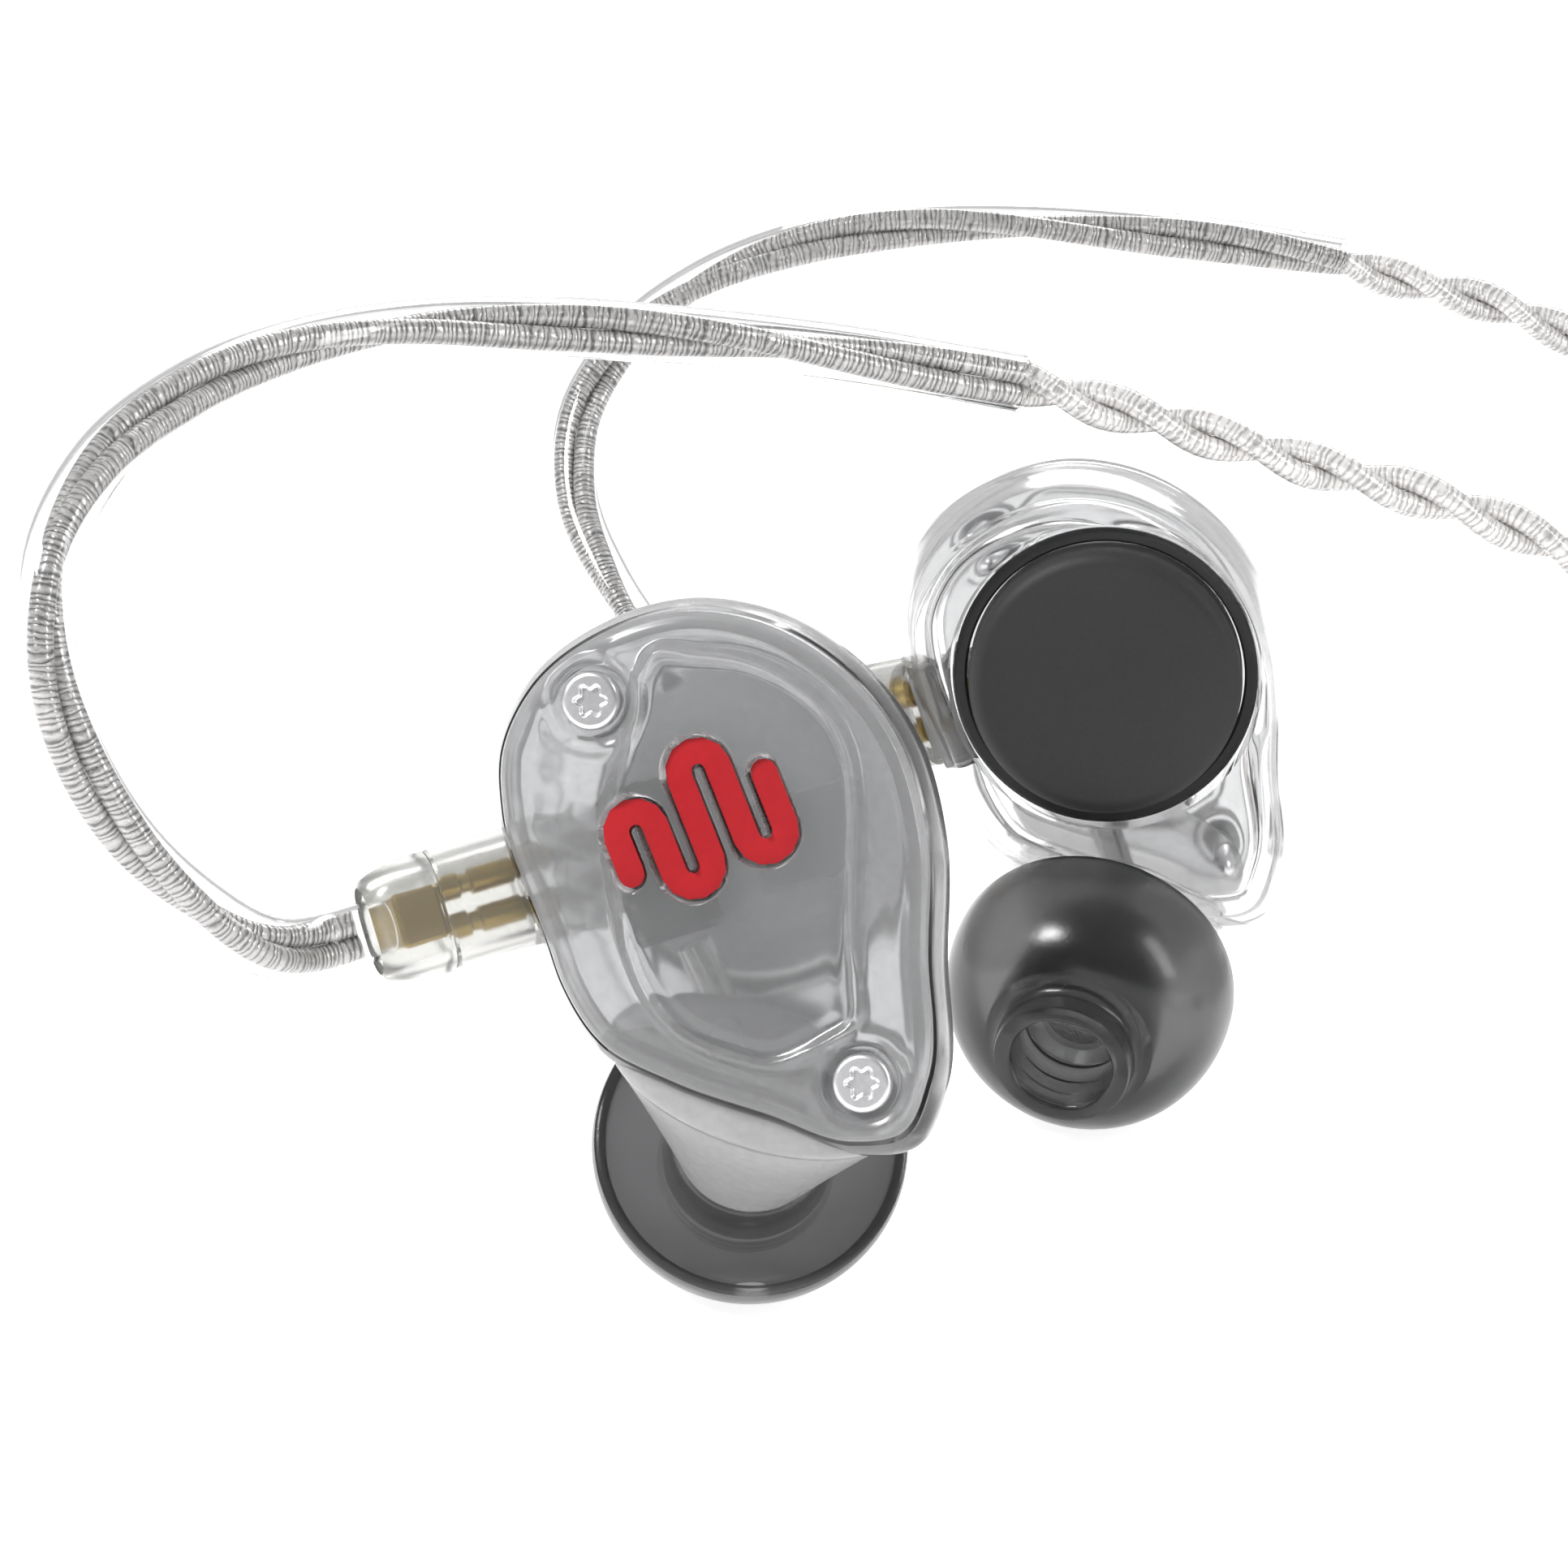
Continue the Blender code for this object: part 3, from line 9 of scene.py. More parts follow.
import bpy
import numpy as np
from mathutils import Euler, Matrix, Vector


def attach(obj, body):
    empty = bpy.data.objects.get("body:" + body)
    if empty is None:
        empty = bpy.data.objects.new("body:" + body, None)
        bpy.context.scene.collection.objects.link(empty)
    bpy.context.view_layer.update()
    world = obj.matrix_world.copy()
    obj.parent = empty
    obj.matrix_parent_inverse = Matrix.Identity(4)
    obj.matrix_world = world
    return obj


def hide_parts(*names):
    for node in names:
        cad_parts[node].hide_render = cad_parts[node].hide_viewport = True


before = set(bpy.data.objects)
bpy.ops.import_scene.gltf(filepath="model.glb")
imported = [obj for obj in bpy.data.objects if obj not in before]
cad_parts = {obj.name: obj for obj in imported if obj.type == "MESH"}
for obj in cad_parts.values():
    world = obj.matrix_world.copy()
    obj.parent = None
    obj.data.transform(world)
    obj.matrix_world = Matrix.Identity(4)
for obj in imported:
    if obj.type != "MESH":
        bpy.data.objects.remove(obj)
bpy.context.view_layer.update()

MM = 0.001
TAU = 2.0 * math.pi

# ---- sizes of the earpiece, as in the solid model ---------------------------------------------
PLACES = {"left": ((-1.940, -29.109, 20.510), (76.125, -4.064, -7.992)),
          "right": ((15.651, 12.035, 18.230), (90.564, -4.156, -4.802))}
BODY_WIDTH = 17.9
BODY_HEIGHT = 22.5
BODY_CENTRE = (-0.30, -0.20)
BODY_OUTLINE = [(-0.08, 1.00), (-0.47, 0.93), (-0.82, 0.74), (-0.985, 0.49), (-0.99, 0.27),
                (-0.80, -0.22), (-0.74, -0.37), (-0.56, -0.60), (-0.24, -0.745), (0.22, -0.88),
                (0.60, -0.985), (0.84, -0.955), (0.965, -0.76), (0.985, -0.30), (1.00, 0.12),
                (0.88, 0.50), (0.64, 0.76), (0.26, 0.95)]
BODY_RINGS = [(0.00, 0.960), (0.05, 0.975), (0.10, 0.988), (0.30, 1.000), (0.55, 0.975), (0.78, 0.900)]
SHELL_DEPTH = 7.1
WALL = 0.95
RIM_Z = -1.45
SEAM = 0.05
FACE_SIZE = 0.945
PLATEAU = 1.40
RIM_PROFILE = ([0.0, 0.08, 0.25, 0.50, 0.85, 1.2],       # distance in from the edge
               [0.35, 0.55, 0.74, 0.86, 0.93, 0.95])     # height there


def on_body(across, up):
    """Point of the faceplate's plane, in half widths and half heights from the body's centre."""
    return np.array([BODY_CENTRE[0] + across * BODY_WIDTH / 2, BODY_CENTRE[1] + up * BODY_HEIGHT / 2])


SCREW_PLACES = {"upper": on_body(-0.508, 0.649), "lower": on_body(0.637, -0.711)}
MARK_CENTRE = on_body(-0.050, 0.209)
MARK_PITCH = 1.60
MARK_RUNS = [(-0.9, 0.6), (0.6, -1.5), (-1.5, 1.9), (1.9, -1.3), (-1.3, 0.9)]
MARK_HALF = 0.525
MARK_TILT = math.radians(20.0)
MARK_POCKET = 0.97
DRIVER_CENTRE = on_body(0.084, 0.196)
DRIVER_RADIUS = 6.2
DRIVER_FACE_Z = -9.55
CAP_DEPTH = 2.3
RING_RADIUS = 6.9
RING_LOW = -8.0
RING_DEPTH = 0.45
SCREW_HEAD = 2.35
SCREW_SHANK = 1.2
SCREW_SEAT_Z = RIM_Z + 0.5
SCREW_TOP_Z = SCREW_SEAT_Z + 0.65
SCREW_LENGTH = 4.2
SCREW_HEAD_EDGE = 0.22
DRIVE_RADIUS = 0.56
DRIVE_LOBE = 0.105
DRIVE_DEPTH = 0.26
WELL_RADIUS = 1.50
SCREW_GAP = 0.06
TIP_RIM = (*on_body(-0.046, -0.985), -10.5)
NOZZLE_AXIS = (-0.204, -0.276, -0.939)
NOZZLE_RADIUS = 2.62
NOZZLE_BORE = 1.75
NOZZLE_END = 3.6
NOZZLE_ROOT = 3.2
NOZZLE_SHOULDER = -1.30
COWL_CENTRE = (*on_body(0.134, -0.693), -2.70)
COWL_SPAN = 6.2
COWL_DROP = 2.9
COWL_TILT = math.radians(-19.0)
COWL_WALL = 0.75
COWL_MOUTH = 0.12           # share of the cowl's wall that is left at its mouth
COWL_RISE = 0.95            # the mouth stands this far up inside the shell
COWL_TUCK = (0.08, 0.58)    # how far the fairing draws in, along and across
TIP_RADIUS = 6.55
TIP_LENGTH = 7.3
SOCKET_PLACE = (*on_body(-0.877, 0.0044), -4.25)
PLUG_AXIS = (-0.885, -0.235, 0.402)
PLUG_WIDTH = 5.0
PLUG_HEIGHT = 4.1
PLUG_CORNER = 1.5
PLUG_WALL = 0.7
PLUG_SEAT = 0.6
BARREL_END = 4.1
CAP_END = 7.0
GUIDE_START = 6.1
GUIDE_DIAMETER = 2.5
GUIDE_WALL = 0.20
PIN_RADIUS = 0.475
PIN_PITCH = 1.75

# ---- routes of the cable, in millimetres, as in the solid model --------------------------------
GUIDE_ROUTES = {
    "left": [(-19.85, -29.36, 17.9), (-22.25, -30.55, 19.9), (-24.45, -31.55, 22.6),
             (-26.25, -31.86, 26.0), (-27.25, -31.66, 29.4), (-27.35, -30.16, 33.3),
             (-25.85, -26.86, 36.5), (-23.05, -22.86, 38.4), (-19.05, -18.36, 39.4),
             (-13.95, -15.05, 39.7), (-9.04, -13.05, 39.4), (-3.54, -11.36, 38.7),
             (2.96, -8.86, 37.5), (10.76, -6.26, 35.7)],
    "right": [(-2.65, 14.54, 15.5), (-5.45, 17.75, 17.9), (-7.84, 20.84, 20.7),
              (-9.45, 23.45, 24.1), (-9.24, 25.64, 27.9), (-6.95, 27.34, 31.3),
              (-3.04, 28.64, 34.0), (1.66, 29.45, 35.7), (6.96, 30.14, 36.4),
              (12.55, 30.75, 36.4), (16.95, 31.04, 36.1), (22.75, 31.45, 35.4),
              (28.45, 31.85, 34.4)]}
LEAD_ROUTES = {
    "left": [(16.85, -5.36, 33.9), (23.95, -4.76, 31.7), (30.95, -4.25, 29.5), (37.55, -3.65, 26.3),
             (43.75, -1.96, 22.0), (49.55, 1.25, 17.8), (54.4, 6.2, 14.0), (58.9, 8.7, 10.8),
             (63.6, 10.5, 8.3), (66.9, 12.5, 7.3), (68.2, 15.2, 7.15), (67.9, 18.6, 7.1)],
    "right": [(32.16, 32.25, 33.3), (36.35, 32.65, 32.1), (40.55, 32.85, 30.3), (44.75, 32.35, 27.2),
              (48.35, 30.25, 23.4), (50.85, 26.84, 18.8), (52.16, 22.84, 14.9), (52.2, 19.4, 12.2),
              (51.4, 15.8, 10.3)]}
TAIL_ROUTES = {
    "left": [(75.2, 23.1, 7.15), (73.3, 28.3, 7.2), (70.6, 33.6, 6.4), (66.9, 37.6, 4.2),
             (63.6, 38.8, 3.1), (60.9, 38.9, 2.9)],
    "right": [(74.2, 24.0, 9.45), (71.9, 29.1, 9.6), (69.0, 32.9, 8.6), (66.2, 35.2, 5.9),
              (63.5, 36.0, 3.8), (60.9, 36.1, 3.2)]}
MAIN_START = [(50.9, 37.5, 2.65), (48.3, 37.3, 2.4), (46.6, 35.7, 2.1), (45.4, 32.5, 1.9),
              (44.3, 28.8, 1.9), (43.9, 25.6, 2.0)]
MAIN_END = [(42.6, 11.0, 4.6), (42.8, 3.4, 4.3), (42.65, 1.0, 3.5), (42.6, -1.35, 3.25)]
COIL_CENTRE = (61.0, 14.0)
BRANCH_COIL_RADII = [9.9, 12.0, 14.05]
BRANCH_COILS = {"left": (7.1, 62.0, 2.86), "right": (9.4, 192.0, 2.49)}   # height, start angle, turns
MAIN_COIL_RADII = [18.1, 15.55, 13.0, 10.5]
MAIN_COIL_HEIGHTS = (2.0, 4.58)
MAIN_COIL_ANGLE = 154.0
MAIN_COIL_TURNS = 8.04
GUIDE_WIRES_DIAMETER = 2.02
GUIDE_PITCH = 34.0
STRAND_GAP = 0.02           # between a wire of the ear guide and the strand that carries on from it
BRANCH_DIAMETER = 2.1
BRANCH_PITCH = 9.2
MAIN_DIAMETER = 2.55
MAIN_PITCH = 12.0

# ---- view -------------------------------------------------------------------------------------
CAMERA_PLACE = (0.705, -220.855, 77.50)
CAMERA_DROP = 15.5
CAMERA_LENS = 117.39


# ---- curves and grids --------------------------------------------------------------------------
def hermite(points, closed=False, samples=24):
    """Cubic spans through points; each slope is the mean of its two chords, weighted by length."""
    points = np.asarray(points, dtype=float)
    if closed:
        before, after = np.roll(points, 1, axis=0), np.roll(points, -1, axis=0)
    else:
        before = np.vstack([points[:1], points[:-1]])
        after = np.vstack([points[1:], points[-1:]])
    step_in = np.linalg.norm(points - before, axis=1)[:, None] + 1e-12
    step_out = np.linalg.norm(after - points, axis=1)[:, None] + 1e-12
    slope = (points - before) / step_in * step_out + (after - points) / step_out * step_in
    slope = slope / (step_in + step_out)
    if not closed:
        slope[0] = (points[1] - points[0]) / step_out[0]
        slope[-1] = (points[-1] - points[-2]) / step_in[-1]
    start, end = (points, after) if closed else (points[:-1], points[1:])
    slope_out = np.roll(slope, -1, axis=0) if closed else slope[1:]
    slope_in = slope if closed else slope[:-1]
    length = np.linalg.norm(end - start, axis=1)[:, None, None]
    t = np.linspace(0.0, 1.0, samples, endpoint=False)[None, :, None]
    curve = ((2 * t**3 - 3 * t**2 + 1) * start[:, None] + (t**3 - 2 * t**2 + t) * slope_in[:, None] * length
             + (3 * t**2 - 2 * t**3) * end[:, None] + (t**3 - t**2) * slope_out[:, None] * length)
    curve = curve.reshape(-1, points.shape[1])
    return curve if closed else np.vstack([curve, points[-1:]])


def travelled(curve):
    """Distance from the start of a curve to each of its points."""
    return np.concatenate([[0.0], np.cumsum(np.linalg.norm(np.diff(curve, axis=0), axis=1))])


def evenly(curve, count, closed=False):
    """Points at equal distances along a dense curve."""
    if closed:
        curve = np.vstack([curve, curve[:1]])
    lengths = travelled(curve)
    stops = np.linspace(0.0, lengths[-1], count + 1 if closed else count)
    result = np.column_stack([np.interp(stops, lengths, curve[:, k]) for k in range(curve.shape[1])])
    return result[:-1] if closed else result


def smooth_path(points, step):
    """Points a step apart on the smooth curve through a route."""
    curve = hermite(points)
    return evenly(curve, int(round(travelled(curve)[-1] / step)) + 1)


def ease(value, low, high):
    """Zero below low, one above high, and a smooth cubic between them."""
    share = np.clip((value - low) / (high - low), 0.0, 1.0)
    return share * share * (3.0 - 2.0 * share)


def axes_along(origin, axis, side=(0.0, 0.0, 1.0)):
    """Origin and three unit axes, the third along the given axis, the second leaning to side."""
    z = np.asarray(axis, dtype=float) / np.linalg.norm(axis)
    x = np.cross(side, z)
    x /= np.linalg.norm(x)
    return np.asarray(origin, dtype=float), x, np.cross(z, x), z


def in_axes(frame_axes, points):
    """Points given along three axes, as places."""
    origin, x, y, z = frame_axes
    points = np.asarray(points, dtype=float)
    return origin + points[..., 0:1] * x + points[..., 1:2] * y + points[..., 2:3] * z


def carried_frames(path):
    """Side and up directions along a path, carried without twist: each row's side is the last one's
    less its part along the tangent, kept at length one."""
    tangents = np.gradient(path, axis=0)
    tangents /= np.linalg.norm(tangents, axis=1)[:, None]
    side = np.cross(tangents[0], (0.0, 0.0, 1.0))
    sides = []
    for tangent in tangents:
        side = side - tangent * np.dot(side, tangent)
        side = side / np.linalg.norm(side)
        sides.append(side)
    sides = np.array(sides)
    return sides, np.cross(tangents, sides)


def tube_grid(path, radius, sides=12):
    """Rows of circles of a radius square to a path."""
    side, up = carried_frames(path)
    angle = np.linspace(0.0, TAU, sides, endpoint=False)
    radius = np.broadcast_to(np.asarray(radius, dtype=float), (len(path),))[:, None, None]
    circle = np.cos(angle)[None, :, None] * side[:, None] + np.sin(angle)[None, :, None] * up[:, None]
    return path[:, None] + radius * circle


def turned_grid(profile, frame_axes, steps=72):
    """Rows of circles: each row has a radius and a height along the third axis."""
    radius, height = np.asarray(profile, dtype=float).T
    angle = np.linspace(0.0, TAU, steps, endpoint=False)
    local = np.stack([radius[:, None] * np.cos(angle), radius[:, None] * np.sin(angle),
                      np.broadcast_to(height[:, None], (len(radius), steps))], axis=-1)
    return in_axes(frame_axes, local)


def rounded_section(width, height, corner, steps=8):
    """Rounded rectangle: four quarter circles set at its corners' centres, anticlockwise."""
    quarter = np.repeat(np.arange(4), steps + 1)
    angle = math.pi / 2 * (quarter + np.tile(np.linspace(0.0, 1.0, steps + 1), 4))
    centre_x = np.array([1, -1, -1, 1])[quarter] * (width / 2 - corner)
    centre_y = np.array([1, 1, -1, -1])[quarter] * (height / 2 - corner)
    return np.column_stack([centre_x + corner * np.cos(angle), centre_y + corner * np.sin(angle)])


class Skin:
    """Points, faces and face-corner coordinates of one or more closed skins, in millimetres."""

    def __init__(self):
        self.points, self.faces, self.uvs, self.finish, self.count = [], [], [], [], 0

    def grid(self, grid, ring=False, caps=True, finish=0, along=None, around=1.0):
        """Skin over rows of closed loops; ring joins the last row to the first, caps close the ends."""
        rows, columns = grid.shape[:2]
        along = np.arange(rows, dtype=float) if along is None else np.asarray(along, dtype=float)
        index = np.arange(rows * columns).reshape(rows, columns) + self.count
        low = np.arange(rows if ring else rows - 1)[:, None]
        high = (low + 1) % rows
        here = np.arange(columns)[None, :]
        nxt = (here + 1) % columns
        quads = np.stack([index[low, here], index[low, nxt], index[high, nxt], index[high, here]], axis=-1)
        v_here = np.broadcast_to(here / columns * around, (len(low), columns))
        v_next = v_here + around / columns
        u_low = np.broadcast_to(along[low], v_here.shape)
        u_high = np.broadcast_to(along[high], v_here.shape)
        uv = np.stack([u_low, v_here, u_low, v_next, u_high, v_next, u_high, v_here], axis=-1)
        self.faces += quads.reshape(-1, 4).tolist()
        self.uvs.append(uv.reshape(-1))
        marks = finish(grid) if callable(finish) else np.full((len(low), columns), finish)
        marks = np.asarray(marks).astype(int)
        self.finish += marks.reshape(-1).tolist()
        self.points.append(grid.reshape(-1, 3))
        self.count += rows * columns
        if caps and not ring:
            self._cap(grid[0], index[0][::-1], int(marks[0, 0]))
            self._cap(grid[-1], index[-1], int(marks[-1, 0]))
        return self

    def _cap(self, loop, index, finish):
        """Fan from the middle of a loop."""
        self.points.append(loop.mean(axis=0)[None])
        fan = np.column_stack([index, np.roll(index, -1), np.full(len(index), self.count)])
        self.faces += fan.tolist()
        self.uvs.append(np.zeros(len(index) * 6))
        self.finish += [finish] * len(index)
        self.count += 1

    def outward(self, points):
        """Faces turned so that the enclosed volume, a sum over fans of triangles, is positive."""
        total = 0.0
        for size in (3, 4):
            faces = np.array([face for face in self.faces if len(face) == size], dtype=int).reshape(-1, size)
            for k in range(1, size - 1):
                a, b, c = points[faces[:, 0]], points[faces[:, k]], points[faces[:, k + 1]]
                total += np.einsum("ij,ij->", a, np.cross(b, c))
        return total > 0


def add_piece(name, skin, finishes, body, replaced=(), place=None, crease=38.0):
    """Object from a skin, with its materials, riding on a body in place of CAD nodes."""
    points = np.vstack(skin.points)
    if place is not None:
        points = place(points)
    points = points * MM
    faces, uvs = skin.faces, np.concatenate(skin.uvs)
    if not skin.outward(points):
        sizes = np.array([len(face) for face in faces])
        faces = [face[::-1] for face in faces]
        starts = np.concatenate([[0], np.cumsum(sizes)[:-1]])
        ends = starts + sizes
        order = np.concatenate([np.arange(end - 1, start - 1, -1) for start, end in zip(starts, ends)])
        uvs = uvs.reshape(-1, 2)[order].reshape(-1)
    mesh = bpy.data.meshes.new(name)
    mesh.from_pydata(points.tolist(), [], faces)
    mesh.uv_layers.new(name="along").data.foreach_set("uv", uvs.astype(np.float32))
    for finish in finishes:
        mesh.materials.append(finish)
    mesh.polygons.foreach_set("material_index", np.array(skin.finish, dtype=np.int32))
    mesh.shade_smooth()
    mesh.set_sharp_from_angle(angle=math.radians(crease))
    obj = bpy.data.objects.new(name, mesh)
    bpy.context.scene.collection.objects.link(obj)
    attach(obj, body)
    if replaced:
        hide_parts(*replaced)
    return obj


def placer(side):
    """Function that lays a drawing of one side in the world, in millimetres."""
    place, turn = PLACES[side]
    matrix = np.array(Euler([math.radians(a) for a in turn], "XYZ").to_matrix())
    flip = np.array([1.0, 1.0, -1.0 if side == "right" else 1.0])
    return lambda points: (np.asarray(points, dtype=float) * flip) @ matrix.T + np.array(place)


# ---- shader groups and materials ----------------------------------------------------------------
def new_group(name, inputs, outputs):
    """Empty shader group with named sockets."""
    group = bpy.data.node_groups.new(name, "ShaderNodeTree")
    for label, kind, value in inputs:
        socket = group.interface.new_socket(name=label, in_out="INPUT", socket_type=kind)
        socket.default_value = value
    for label, kind in outputs:
        group.interface.new_socket(name=label, in_out="OUTPUT", socket_type=kind)
    return group, group.nodes.new("NodeGroupInput"), group.nodes.new("NodeGroupOutput")


def maths(tree, operation, first, second=None, third=None):
    """Math node fed by sockets or numbers; gives its output."""
    node = tree.nodes.new("ShaderNodeMath")
    node.operation = operation
    for slot_in, value in zip(node.inputs, (first, second, third)):
        if value is None:
            continue
        if isinstance(value, (int, float)):
            slot_in.default_value = value
        else:
            tree.links.new(value, slot_in)
    return node.outputs[0]


def grain_group():
    """Fine moulding grain: noise on the piece's own coordinates drives roughness and a tiny relief."""
    group, inlet, outlet = new_group(
        "moulding_grain",
        [("Scale", "NodeSocketFloat", 4000.0), ("Smooth", "NodeSocketFloat", 0.3),
         ("Coarse", "NodeSocketFloat", 0.5), ("Relief", "NodeSocketFloat", 1.0)],
        [("Roughness", "NodeSocketFloat"), ("Height", "NodeSocketFloat"), ("Shade", "NodeSocketFloat")])
    place = group.nodes.new("ShaderNodeTexCoord")
    noise = group.nodes.new("ShaderNodeTexNoise")
    noise.inputs["Detail"].default_value = 3.0
    group.links.new(place.outputs["Object"], noise.inputs["Vector"])
    group.links.new(inlet.outputs["Scale"], noise.inputs["Scale"])
    broad = group.nodes.new("ShaderNodeTexNoise")
    broad.inputs["Detail"].default_value = 2.0
    group.links.new(place.outputs["Object"], broad.inputs["Vector"])
    group.links.new(maths(group, "MULTIPLY", inlet.outputs["Scale"], 0.06), broad.inputs["Scale"])
    spread = maths(group, "SUBTRACT", inlet.outputs["Coarse"], inlet.outputs["Smooth"])
    mixed = maths(group, "MULTIPLY", spread, broad.outputs["Fac"])
    group.links.new(maths(group, "ADD", mixed, inlet.outputs["Smooth"]), outlet.inputs["Roughness"])
    group.links.new(maths(group, "MULTIPLY", noise.outputs["Fac"], inlet.outputs["Relief"]),
                    outlet.inputs["Height"])
    group.links.new(noise.outputs["Fac"], outlet.inputs["Shade"])
    return group


def strand_group():
    """Stranded wire under clear skin: slanting ribs across the wire, whose grooves between strands carry
    painted shade in the colour as well as a relief, and slow change in that shade along it, both worked out
    from the distance along and the share around, sin(2 pi (u / pitch + slant v))."""
    group, inlet, outlet = new_group(
        "stranded_wire",
        [("Pitch", "NodeSocketFloat", 0.25), ("Slant", "NodeSocketFloat", 2.0),
         ("Dark", "NodeSocketColor", (0.3, 0.3, 0.3, 1.0)),
         ("Light", "NodeSocketColor", (0.9, 0.9, 0.9, 1.0))],
        [("Color", "NodeSocketColor"), ("Height", "NodeSocketFloat"), ("Roughness", "NodeSocketFloat")])
    place = group.nodes.new("ShaderNodeUVMap")
    place.uv_map = "along"
    parts = group.nodes.new("ShaderNodeSeparateXYZ")
    group.links.new(place.outputs["UV"], parts.inputs["Vector"])
    run = maths(group, "DIVIDE", parts.outputs["X"], inlet.outputs["Pitch"])
    slanted = maths(group, "MULTIPLY", parts.outputs["Y"], inlet.outputs["Slant"])
    noise = group.nodes.new("ShaderNodeTexNoise")
    noise.inputs["Scale"].default_value = 1.6
    noise.inputs["Detail"].default_value = 4.0
    group.links.new(place.outputs["UV"], noise.inputs["Vector"])
    wander = maths(group, "MULTIPLY", noise.outputs["Fac"], 3.2)
    phase = maths(group, "ADD", maths(group, "ADD", run, slanted), wander)
    wave = maths(group, "SINE", maths(group, "MULTIPLY", phase, TAU))
    rib = maths(group, "MULTIPLY_ADD", wave, 0.5, 0.5)
    depth = maths(group, "MULTIPLY_ADD", noise.outputs["Fac"], 1.5, -0.25)
    groove = maths(group, "POWER", rib, maths(group, "MAXIMUM", depth, 0.08))
    # painted shade: the colour goes from the dark shade of the grooves between strands to the light silver of
    # the strands, with the same wave as the relief
    mix = group.nodes.new("ShaderNodeMix")
    mix.data_type = "RGBA"
    group.links.new(groove, mix.inputs["Factor"])
    group.links.new(inlet.outputs["Dark"], mix.inputs["A"])
    group.links.new(inlet.outputs["Light"], mix.inputs["B"])
    group.links.new(mix.outputs["Result"], outlet.inputs["Color"])
    group.links.new(groove, outlet.inputs["Height"])
    sheen = maths(group, "MULTIPLY_ADD", noise.outputs["Fac"], 0.25, 0.15)
    group.links.new(sheen, outlet.inputs["Roughness"])
    return group


GRAIN = grain_group()
STRAND = strand_group()
GRAIN_RELIEF, STRAND_RELIEF = 0.00002, 0.00006           # depths of the reliefs, in metres


def plain_shader(name):
    """New material and its Principled shader."""
    made = bpy.data.materials.new(name)
    made.use_nodes = True
    return made, made.node_tree, made.node_tree.nodes["Principled BSDF"]


def set_values(node, **values):
    """Sets input sockets by label, with an underscore for each space of the label."""
    for label, value in values.items():
        node.inputs[label.replace("_", " ")].default_value = value


def add_relief(tree, shader, height, strength, distance):
    """Relief from a height socket, through a bump node."""
    bump = tree.nodes.new("ShaderNodeBump")
    set_values(bump, Strength=strength, Distance=distance)
    tree.links.new(height, bump.inputs["Height"])
    tree.links.new(bump.outputs["Normal"], shader.inputs["Normal"])


def moulded(name, colour, smooth, coarse, scale=4000.0, relief=0.3, metallic=0.0, transmission=0.0,
            coat=0.0, ior=1.46, mottle=0.12, level=0.5):
    """Material with moulding grain: colour mottled a little, roughness and relief from the grain."""
    made, tree, shader = plain_shader(name)
    grain = tree.nodes.new("ShaderNodeGroup")
    grain.node_tree = GRAIN
    set_values(grain, Scale=scale, Smooth=smooth, Coarse=coarse, Relief=1.0)
    tree.links.new(grain.outputs["Roughness"], shader.inputs["Roughness"])
    tint = tree.nodes.new("ShaderNodeMix")
    tint.data_type = "RGBA"
    set_values(tint, A=tuple(c * (1.0 - mottle) for c in colour) + (1.0,),
               B=tuple(min(1.0, c * (1.0 + mottle)) for c in colour) + (1.0,))
    tree.links.new(grain.outputs["Shade"], tint.inputs["Factor"])
    tree.links.new(tint.outputs["Result"], shader.inputs["Base Color"])
    add_relief(tree, shader, grain.outputs["Height"], relief, GRAIN_RELIEF)
    set_values(shader, Metallic=metallic, Transmission_Weight=transmission, Coat_Weight=coat, IOR=ior,
               Specular_IOR_Level=level)
    return made


def stranded(name, pitch, slant, groove_shade, light, metallic, relief=0.6):
    """Material of stranded silver wire under a clear skin, its colour darkened in the grooves between strands
    as painted shade.
    """
    made, tree, shader = plain_shader(name)
    strand = tree.nodes.new("ShaderNodeGroup")
    strand.node_tree = STRAND
    set_values(strand, Pitch=pitch, Slant=slant, Dark=(*groove_shade, 1.0), Light=(*light, 1.0))
    tree.links.new(strand.outputs["Color"], shader.inputs["Base Color"])
    tree.links.new(strand.outputs["Roughness"], shader.inputs["Roughness"])
    add_relief(tree, shader, strand.outputs["Height"], relief, STRAND_RELIEF)
    set_values(shader, Metallic=metallic, Coat_Weight=0.35, Coat_Roughness=0.06)
    return made


# The left shell and cowl are the same clear plastic as the right ones; their darker grey and lower
# transmission are painted shade.
CLEAR_SHELL = moulded("clear_shell", (0.95, 0.95, 0.955), 0.06, 0.14, 900.0, 0.05, transmission=1.0, ior=1.38)
SHADED_SHELL = moulded("shaded_shell", (0.55, 0.55, 0.555), 0.10, 0.20, 900.0, 0.05, transmission=1.0)
SHADED_COWL = moulded("shaded_cowl", (0.66, 0.66, 0.665), 0.20, 0.32, 2500.0, 0.1, transmission=0.62)
CLEAR_COWL = moulded("clear_cowl", (0.92, 0.92, 0.925), 0.14, 0.24, 2500.0, 0.1, transmission=0.85, ior=1.38)
SHELLS = {"left": [SHADED_SHELL, SHADED_COWL], "right": [CLEAR_SHELL, CLEAR_COWL]}
CLEAR_RIM = moulded("satin_rim", (0.74, 0.745, 0.75), 0.15, 0.25, 3000.0, 0.15, transmission=0.84)
FROSTED_FIELD = moulded("frosted_field", (0.54, 0.545, 0.55), 0.11, 0.19, 9000.0, 0.12, transmission=0.84,
                        mottle=0.04)
INLAY_RED = moulded("inlay_red", (0.37, 0.005, 0.010), 0.26, 0.40, 3000.0, 0.2, coat=0.3)
SCREW_STEEL = moulded("screw_steel", (0.84, 0.84, 0.85), 0.26, 0.38, 5000.0, 0.2, metallic=1.0)
DRIVER_BLACK = moulded("driver_black", (0.030, 0.030, 0.031), 0.45, 0.62, 6000.0, 0.5, level=0.35)
